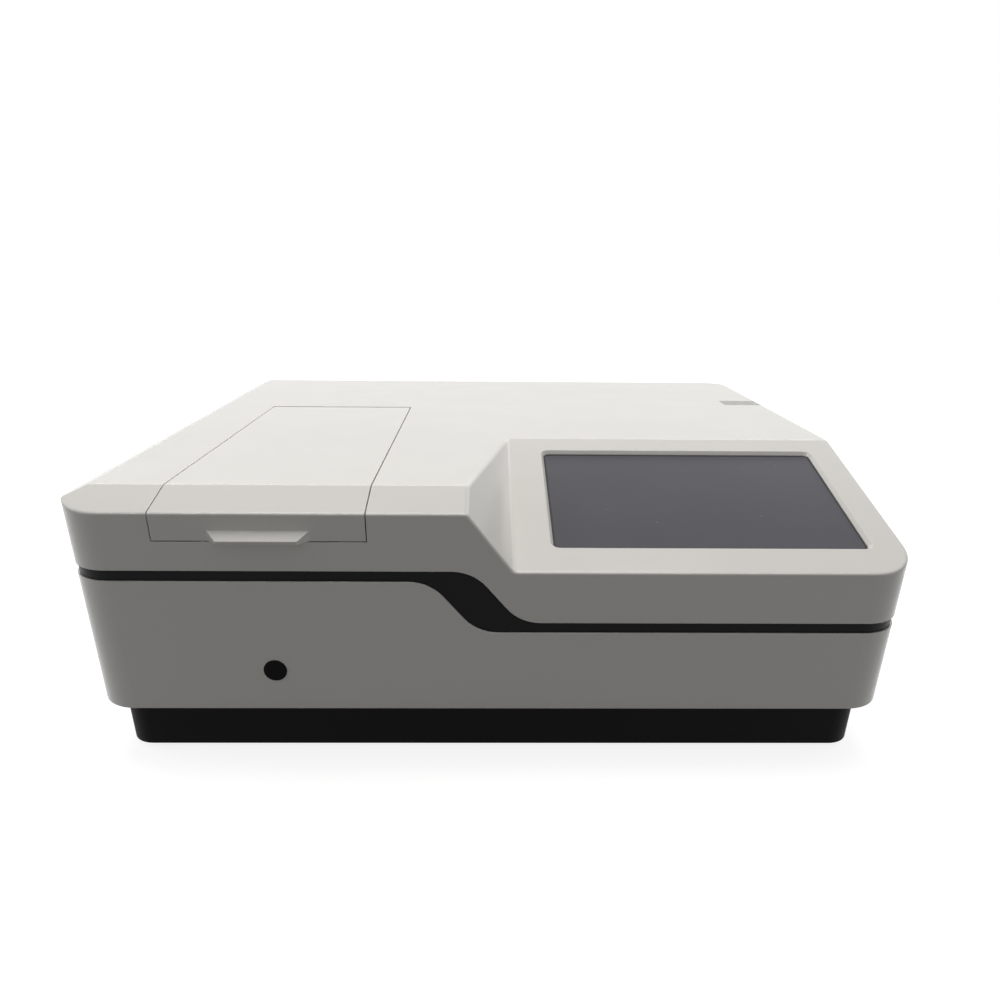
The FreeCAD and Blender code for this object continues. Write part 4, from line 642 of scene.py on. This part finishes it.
def hoop(outline, profile):
    """Band swept round an outline: each point of it moves outward by a profile point's first number and up
    by its second. Outline and profile are closed and run anticlockwise."""
    along = np.roll(outline, -1, 0) - np.roll(outline, 1, 0)
    along /= np.linalg.norm(along, axis=1)[:, None]
    outward = np.stack([along[:, 1], -along[:, 0]], -1)
    profile = np.asarray(profile, float)
    flat = outline[None] + profile[:, :1, None]*outward[None]
    up = np.broadcast_to(profile[:, 1:, None], (*flat.shape[:2], 1))
    rows, columns = flat.shape[:2]
    return np.concatenate([flat, up], -1).reshape(-1, 3), grid_faces(rows, rows, columns)


def tube(path, radius, sides=8):
    """Wire along a path, closed at both ends: at each point a circle square to the path's direction.
    The circles' first arm is square to one fixed direction that the path never takes."""
    along = np.gradient(path, axis=0)
    along /= np.linalg.norm(along, axis=1)[:, None]
    first = np.cross(along, [0.31, 0.17, 0.94])
    first /= np.linalg.norm(first, axis=1)[:, None]
    second = np.cross(along, first)
    angles = np.arange(sides)*math.tau/sides
    circle = first[:, None]*np.cos(angles)[:, None] + second[:, None]*np.sin(angles)[:, None]
    rings = path[:, None] + radius*circle
    return np.vstack([rings.reshape(-1, 3), path[:1], path[-1:]]), shell_faces(len(path), sides)


def piece(name, form, finish):
    """Put a form into the scene as a piece with a finish, riding on the chassis."""
    points, faces = form
    mesh = bpy.data.meshes.new(name)
    mesh.from_pydata(points.tolist(), [], faces)
    mesh.validate()
    mesh.shade_smooth()
    mesh.set_sharp_from_angle(angle=math.radians(35))
    mesh.materials.append(finish_material(finish))
    made = bpy.data.objects.new(name, mesh)
    bpy.context.scene.collection.objects.link(made)
    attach(made, "chassis")


def cross_angles():
    """Spokes that meet the corners of a cross slot whose arms are a quarter as wide as long."""
    corner = math.atan(0.25)
    quarter = np.array([-corner, 0.0, corner, math.pi/4])
    return np.concatenate([quarter + number*math.pi/2 for number in range(4)])


def pan_head(radius):
    """Pan-head screw: a low dome with a cross recess, which ends at the nearer of an arm's end and side."""
    angles = cross_angles()
    folded = np.abs((angles + math.pi/4) % (math.pi/2) - math.pi/4)
    slot_reach = np.minimum(1/np.cos(folded), 0.25/np.maximum(np.sin(folded), NEARLY_NOTHING))
    height = radius*0.7
    radii = radius*np.array([0.98, 1.0, 0.93, 0.72, 0.52, 0.44])
    heights = height*np.array([0.0, 0.45, 0.8, 1.0, 1.0, 0.35])
    shape = np.ones((6, len(angles)))
    shape[4:] = slot_reach
    return turned(radii, heights, angles, shape)


def knurled_knob(radius, height):
    """Knob with straight knurls: every second spoke is set in by a fifteenth."""
    angles = np.arange(48)*math.tau/48
    ribs = np.where(np.arange(48) % 2, 1.0, 0.93)
    radii = radius*np.array([0.62, 0.70, 0.97, 1.0, 1.0, 0.95, 0.55, 0.50])
    heights = height*np.array([0.0, 0.12, 0.14, 0.2, 0.88, 1.0, 1.0, 0.93])
    shape = np.ones((8, 48))
    shape[2:5] = ribs
    return turned(radii, heights, angles, shape)


def hex_post(radius, height, bore):
    """Six-sided standoff with a bored end; a side's distance is the radius over the cosine to its middle."""
    angles = np.arange(24)*math.tau/24
    fold = (angles + math.pi/6) % (math.pi/3) - math.pi/6
    radii = np.array([radius, radius, radius*0.93, bore, bore])
    heights = np.array([0.0, height*0.85, height, height, height*0.4])
    shape = np.ones((5, 24))
    shape[:2] = 1/np.cos(fold)
    return turned(radii, heights, angles, shape)


def pin(radius, length):
    """Contact pin with a rounded tip: its end rings follow a quarter circle."""
    bend = np.linspace(0, math.pi/2, 4)[:-1]
    radii = radius*np.concatenate([[1.0], np.cos(bend)])
    heights = np.concatenate([[0.0], length - radius + radius*np.sin(bend)])
    return turned(radii, heights, np.arange(10)*math.tau/10)


def axis_of(name):
    """Place of an upright round piece's axis."""
    low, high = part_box(name)
    return (low.x + high.x)/2, (low.y + high.y)/2


def beam_height():
    """Height of both light beams, at the middle of the windows."""
    low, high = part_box("beam_windows")
    return (low.z + high.z)/2


# Operators: one for each piece or group of like pieces


class InstrumentOperator:
    """Shared ground of the operators: one undo step each."""

    bl_options = {"REGISTER", "UNDO"}


class INSTRUMENT_OT_camera(InstrumentOperator, bpy.types.Operator):
    """Place the camera that frames the instrument from the front and above."""

    bl_idname = "instrument.camera"
    bl_label = "Camera"

    def execute(self, context):
        settings = context.scene.instrument_camera
        camera = bpy.data.objects.new("camera", bpy.data.cameras.new("camera"))
        context.scene.collection.objects.link(camera)
        camera.data.sensor_width = 36.0
        camera.data.lens = settings.lens
        camera.data.shift_x, camera.data.shift_y = settings.shift
        pitch, yaw, roll = settings.pitch, settings.yaw, settings.roll
        ahead = Vector((math.sin(yaw)*math.cos(pitch), math.cos(yaw)*math.cos(pitch), -math.sin(pitch)))
        level = Vector((math.cos(yaw), -math.sin(yaw), 0.0))
        above = level.cross(ahead)
        right = level*math.cos(roll) + above*math.sin(roll)
        up = -level*math.sin(roll) + above*math.cos(roll)
        turn = Matrix((right, up, -ahead)).transposed().to_4x4()
        camera.matrix_world = Matrix.Translation(settings.place) @ turn
        context.scene.camera = camera
        return {"FINISHED"}


class INSTRUMENT_OT_stage(InstrumentOperator, bpy.types.Operator):
    """Build the floor, the sky and the lamps."""

    bl_idname = "instrument.stage"
    bl_label = "Stage"
    # Width, depth and distance of each lamp, and the height of the point that it faces
    lamp_sizes = {
        "overhead": (1.8, 1.0, 2.0),
        "left_side": (1.2, 1.0, 1.9),
        "right_side": (1.2, 1.0, 1.9),
        "rear_strip": (3.2, 0.5, 2.0),
        "front_strip": (2.6, 0.5, 2.0),
    }
    aim_height = 0.1
    # Distances between which the floor's glow rises, and its strength at both
    glow_reach = (0.4, 1.2)
    glow_strength = (0.85, 1.0)

    def execute(self, context):
        settings = context.scene.instrument_stage
        context.scene.view_settings.view_transform = "Standard"
        self.floor(context, settings)
        self.sky(context, settings)
        above = self.lamp(context, "overhead", settings.overhead_power, settings.overhead_lean,
                          settings.overhead_tilt)
        above.data.color = settings.overhead_tint
        self.lamp(context, "left_side", settings.left_power, -settings.left_lean, 0.0)
        self.lamp(context, "right_side", settings.right_power, settings.right_lean, 0.0)
        rear = self.lamp(context, "rear_strip", settings.rear_strip_power, 0.0, settings.rear_strip_tilt)
        front = self.lamp(context, "front_strip", settings.front_strip_power, 0.0, settings.front_strip_tilt)
        rear.visible_diffuse = front.visible_diffuse = False
        return {"FINISHED"}

    def seen(self, graph):
        """One for rays that show the backdrop: straight, mirrored or through glass."""
        path = graph.node("ShaderNodeLightPath").outputs
        straight = graph.math("MAXIMUM", path["Is Camera Ray"], path["Is Glossy Ray"])
        return graph.math("MAXIMUM", straight, path["Is Transmission Ray"])

    def floor(self, context, settings):
        """Square floor that looks white and keeps the instrument's shadow."""
        half = settings.floor_size/2
        corners = [(-half, -half, 0), (half, -half, 0), (half, half, 0), (-half, half, 0)]
        mesh = bpy.data.meshes.new("floor")
        mesh.from_pydata(corners, [], [(0, 1, 2, 3)])
        floor = bpy.data.objects.new("floor", mesh)
        context.scene.collection.objects.link(floor)
        made, graph = blank("floor_paper")
        seen = self.seen(graph)
        where = graph.node("ShaderNodeTexCoord").outputs["Object"]
        away = graph.node("ShaderNodeVectorMath", {0: where}, operation="LENGTH").outputs["Value"]
        colour = graph.blend(seen, rgba([settings.floor_tone]*3), rgba([settings.seen_floor_tone]*3))
        paper = graph.node("ShaderNodeBsdfDiffuse", {"Color": colour})
        strength = graph.math("MULTIPLY", seen, graph.spread(away, *self.glow_reach, *self.glow_strength))
        glow = graph.node("ShaderNodeEmission", {"Color": WHITE, "Strength": strength})
        both = graph.node("ShaderNodeAddShader", {0: paper.outputs[0], 1: glow.outputs[0]})
        graph.node("ShaderNodeOutputMaterial", {"Surface": both.outputs[0]})
        mesh.materials.append(made)

    def sky(self, context, settings):
        """White behind the instrument, and a low even light from everywhere."""
        world = bpy.data.worlds.new("studio")
        world.use_nodes = True
        world.node_tree.nodes.clear()
        context.scene.world = world
        graph = Graph(world.node_tree)
        strength = graph.spread(self.seen(graph), 0.0, 1.0, settings.sky, 1.0)
        light = graph.node("ShaderNodeBackground", {"Color": WHITE, "Strength": strength})
        graph.node("ShaderNodeOutputWorld", {"Surface": light.outputs[0]})

    def lamp(self, context, name, power, lean_x, lean_y):
        """Rectangular lamp that faces the instrument, leaning sideways and to the rear of straight above."""
        light = bpy.data.lights.new(name, "AREA")
        light.shape = "RECTANGLE"
        light.size, light.size_y, distance = self.lamp_sizes[name]
        light.energy = power
        lamp = bpy.data.objects.new(name, light)
        context.scene.collection.objects.link(lamp)
        turn = Matrix.Rotation(lean_x, 4, "Y") @ Matrix.Rotation(-lean_y, 4, "X")
        aim = Matrix.Translation((0, 0, self.aim_height))
        lamp.matrix_world = aim @ turn @ Matrix.Translation((0, 0, distance))
        return lamp


class INSTRUMENT_OT_finishes(InstrumentOperator, bpy.types.Operator):
    """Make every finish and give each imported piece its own."""

    bl_idname = "instrument.finishes"
    bl_label = "Finishes"

    def execute(self, context):
        made = finishes(context.scene.instrument_finish)
        context.scene["instrument_finishes"] = {key: material.name for key, material in made.items()}
        for key, names in FINISH_OF.items():
            for name in names:
                for place in NODES[name].material_slots:
                    place.material = made[key]
        bare = set(NODES) - {name for names in FINISH_OF.values() for name in names}
        if bare:
            raise RuntimeError(f"no finish for {sorted(bare)}")
        return {"FINISHED"}


class INSTRUMENT_OT_outer_screws(InstrumentOperator, bpy.types.Operator):
    """Screws of the rear panel, the fan and the plinth's underside."""

    bl_idname = "instrument.outer_screws"
    bl_label = "Outer Screws"
    panel_lap = 2*MM
    panel_row_low, panel_row_high = 20*MM, 22*MM
    fan_inset = 4.5*MM
    tray_inset = 14*MM

    def execute(self, context):
        head = pan_head(context.scene.instrument_fitting.screw_radius)
        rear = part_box("lower_shell")[1].y
        low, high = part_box("rear_panel")
        sides = (low.x + self.panel_lap, high.x - self.panel_lap)
        rows = (low.z + self.panel_row_low, high.z - self.panel_row_high)
        places = [(x, rear, z) for x in sides for z in rows]
        places.append(((low.x + high.x)/2, rear, low.z + self.panel_lap))
        piece("rear_panel_screws", repeat(head, places, REARWARD), "steel")
        panel_face = high.y
        low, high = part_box("fan_frame")
        inset = self.fan_inset
        corners = [(x, panel_face, z) for x in (low.x + inset, high.x - inset)
                   for z in (low.z + inset, high.z - inset)]
        piece("fan_screws", repeat(head, corners, REARWARD), "steel")
        low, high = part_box("base_tray")
        inset = self.tray_inset
        below = [(x, y, low.z) for x in (low.x + inset, 0.0, high.x - inset)
                 for y in (low.y + inset, (low.y + high.y)/2, high.y - inset)]
        piece("tray_screws", repeat(head, below, DOWNWARD), "steel")
        return {"FINISHED"}


class INSTRUMENT_OT_data_contacts(InstrumentOperator, bpy.types.Operator):
    """Contact pins and jack posts of the data sockets."""

    bl_idname = "instrument.data_contacts"
    bl_label = "Data Contacts"
    serial_rise = 15.5*MM
    pin_pitch, pin_row = 2.7*MM, 1.2*MM
    pin_radius, pin_length, pin_depth = 0.5*MM, 1.5*MM, 1.6*MM
    post_radius, post_height, post_bore, post_reach = 2.3*MM, 2.6*MM, 1.2*MM, 18.9*MM
    port_drop, strip_pitch, strip_side = 6.8*MM, 2.0*MM, 1.3*MM
    strip_radius, strip_length, strip_depth = 0.4*MM, 5.5*MM, 9*MM

    def execute(self, context):
        low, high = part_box("data_sockets")
        x = (low.x + high.x)/2
        serial = low.z + self.serial_rise
        rows = [(x - self.pin_row, serial + step*self.pin_pitch) for step in (-2, -1, 0, 1, 2)]
        rows += [(x + self.pin_row, serial + step*self.pin_pitch) for step in (-1.5, -0.5, 0.5, 1.5)]
        pins = [(across, high.y - self.pin_depth, up) for across, up in rows]
        contact = pin(self.pin_radius, self.pin_length)
        piece("serial_pins", repeat(contact, pins, REARWARD), "brass")
        panel_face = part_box("rear_panel")[1].y
        posts = [(x, panel_face, serial + side*self.post_reach) for side in (-1, 1)]
        post = hex_post(self.post_radius, self.post_height, self.post_bore)
        piece("jack_posts", repeat(post, posts, REARWARD), "steel")
        port = high.z - self.port_drop
        strips = [(x + self.strip_side, high.y - self.strip_depth, port + step*self.strip_pitch)
                  for step in (-1.5, -0.5, 0.5, 1.5)]
        strip = pin(self.strip_radius, self.strip_length)
        piece("port_contacts", repeat(strip, strips, REARWARD), "brass")
        return {"FINISHED"}


class INSTRUMENT_OT_screen_gasket(InstrumentOperator, bpy.types.Operator):
    """Black gasket between the touch glass and the bezel."""

    bl_idname = "instrument.screen_gasket"
    bl_label = "Screen Gasket"
    glass_margin, glass_thick, window_corner = 5*MM, 2*MM, 4*MM
    # Steps out from the window's edge and up from the glass, round the gasket's section
    section = np.array([(0.0, 0.02), (0.15, 0.35), (-0.54, 0.35), (-0.9, 0.15), (-0.9, 0.02)])*MM

    def execute(self, context):
        low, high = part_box("touch_glass")
        face = max(NODES["touch_glass"].data.polygons, key=lambda one: one.area*(one.normal.z > 0))
        normal = np.array(face.normal)
        up_slope = np.array([0.0, normal[2], -normal[1]])
        half_x = (high.x - low.x)/2 - self.glass_margin
        half_y = ((high.y - low.y) + self.glass_thick*normal[1])/(2*normal[2]) - self.glass_margin
        points, faces = hoop(rounded(half_x, half_y, self.window_corner), self.section)
        glass_top = np.array((low + high)/2) + normal*self.glass_thick/2
        place = points @ np.stack([np.array([1.0, 0.0, 0.0]), up_slope, normal]) + glass_top
        piece("screen_gasket", (place, faces), "seal")
        return {"FINISHED"}


class INSTRUMENT_OT_lamp_wires(InstrumentOperator, bpy.types.Operator):
    """Wire coil in the halogen lamp and arc shield in the deuterium lamp."""

    bl_idname = "instrument.lamp_wires"
    bl_label = "Lamp Wires"
    coil_radius, coil_half, coil_turns, wire_radius = 1.2*MM, 4*MM, 7, 0.25*MM
    steps_of_turn = 23
    shield_radii = np.array([1.6, 6.0, 6.5, 6.5, 6.0, 1.6])*MM
    shield_heights = np.array([0.0, 0.0, 0.5, 13.5, 14.0, 14.0])*MM
    shield_sides = 32

    def execute(self, context):
        beam = beam_height()
        x, y = axis_of("halogen_lamp")
        run = np.linspace(-1, 1, self.coil_turns*self.steps_of_turn)
        angles = run*self.coil_turns*math.pi
        coil = np.stack([x + self.coil_radius*np.cos(angles), y + run*self.coil_half,
                         beam + self.coil_radius*np.sin(angles)], -1)
        piece("halogen_coil", tube(coil, self.wire_radius), "steel")
        x, y = axis_of("deuterium_lamp")
        angles = np.arange(self.shield_sides)*math.tau/self.shield_sides
        shield = turned(self.shield_radii, self.shield_heights, angles)
        place = (x, y, beam - self.shield_heights[-1]/2)
        piece("arc_shield", repeat(shield, [place]), "steel")
        return {"FINISHED"}


class INSTRUMENT_OT_compartment(InstrumentOperator, bpy.types.Operator):
    """Knurled knobs, screws and window rings of the sample compartment."""

    bl_idname = "instrument.compartment"
    bl_label = "Compartment Fittings"
    row_inset, screw_inset = 34*MM, 7*MM
    knob_side, knob_height = 33*MM, 9*MM
    foot_side, foot_end, foot_height, foot_screw = 17.5*MM, 4.5*MM, 4*MM, 1.6*MM
    tub_wall, window_radius = 2*MM, 9*MM
    # Steps out from the window's edge and up from the wall, round the ring's section
    ring_section = np.array([(0.1, 0.0), (2.6, 0.0), (2.6, 0.9), (2.2, 1.3), (0.6, 1.3), (0.1, 0.8)])*MM

    def execute(self, context):
        settings = context.scene.instrument_fitting
        low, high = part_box("cell_base_plate")
        middle, top = (low.x + high.x)/2, high.z
        rows = (low.y + self.row_inset, high.y - self.row_inset)
        inset = self.screw_inset
        corners = [(x, y, top) for x in (low.x + inset, high.x - inset)
                   for y in (low.y + inset, high.y - inset)]
        piece("plate_screws", repeat(pan_head(settings.screw_radius), corners), "steel")
        small = [(middle + side*self.foot_side, row + end*self.foot_end, top + self.foot_height)
                 for side in (-1, 1) for row in rows for end in (-1, 1)]
        piece("holder_screws", repeat(pan_head(self.foot_screw), small), "steel")
        knobs = [(middle + side*self.knob_side, row, top) for side in (-1, 1) for row in rows]
        knob = knurled_knob(settings.knob_radius, self.knob_height)
        piece("plate_knobs", repeat(knob, knobs), "brass")
        self.window_rings(rows)
        return {"FINISHED"}

    def window_rings(self, rows):
        """Rings round the beam windows, on the tub's inner walls."""
        radius = self.window_radius
        circle = rounded(radius, radius, radius - NEARLY_NOTHING)
        ring = hoop(circle, self.ring_section)
        low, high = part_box("compartment_tub")
        walls = {"left": (low.x + self.tub_wall, 1), "right": (high.x - self.tub_wall, -1)}
        for side, (wall, inward) in walls.items():
            rings = repeat(ring, [(wall, row, beam_height()) for row in rows], (inward, 0, 0))
            piece(f"window_rings_{side}", rings, "tub")


class INSTRUMENT_PT_panel(bpy.types.Panel):
    """Sidebar list of the settings and the steps."""

    bl_idname = "INSTRUMENT_PT_panel"
    bl_label = "Instrument"
    bl_space_type = "VIEW_3D"
    bl_region_type = "UI"
    bl_category = "Instrument"

    def draw(self, context):
        scene = context.scene
        for settings in (getattr(scene, name) for name in SETTINGS):
            box = self.layout.box()
            for prop in settings.__annotations__:
                box.prop(settings, prop)
        for operator in OPERATORS:
            self.layout.operator(operator.bl_idname)


SETTINGS = {
    "instrument_camera": CameraSettings,
    "instrument_stage": StageSettings,
    "instrument_finish": FinishSettings,
    "instrument_fitting": FittingSettings,
}
OPERATORS = (
    INSTRUMENT_OT_camera, INSTRUMENT_OT_stage, INSTRUMENT_OT_finishes, INSTRUMENT_OT_outer_screws,
    INSTRUMENT_OT_data_contacts, INSTRUMENT_OT_screen_gasket, INSTRUMENT_OT_lamp_wires,
    INSTRUMENT_OT_compartment,
)


def register():
    """Make the settings, the operators and the panel known to Blender."""
    for name, kind in SETTINGS.items():
        bpy.utils.register_class(kind)
        setattr(bpy.types.Scene, name, bpy.props.PointerProperty(type=kind))
    for kind in (*OPERATORS, INSTRUMENT_PT_panel):
        bpy.utils.register_class(kind)


def unregister():
    """Take them away again."""
    for kind in (INSTRUMENT_PT_panel, *reversed(OPERATORS)):
        bpy.utils.unregister_class(kind)
    for name, kind in SETTINGS.items():
        delattr(bpy.types.Scene, name)
        bpy.utils.unregister_class(kind)


def main():
    """Run every step in order."""
    register()
    for operator in OPERATORS:
        group, name = operator.bl_idname.split(".")
        getattr(getattr(bpy.ops, group), name)()


if __name__ == "__main__":
    main()
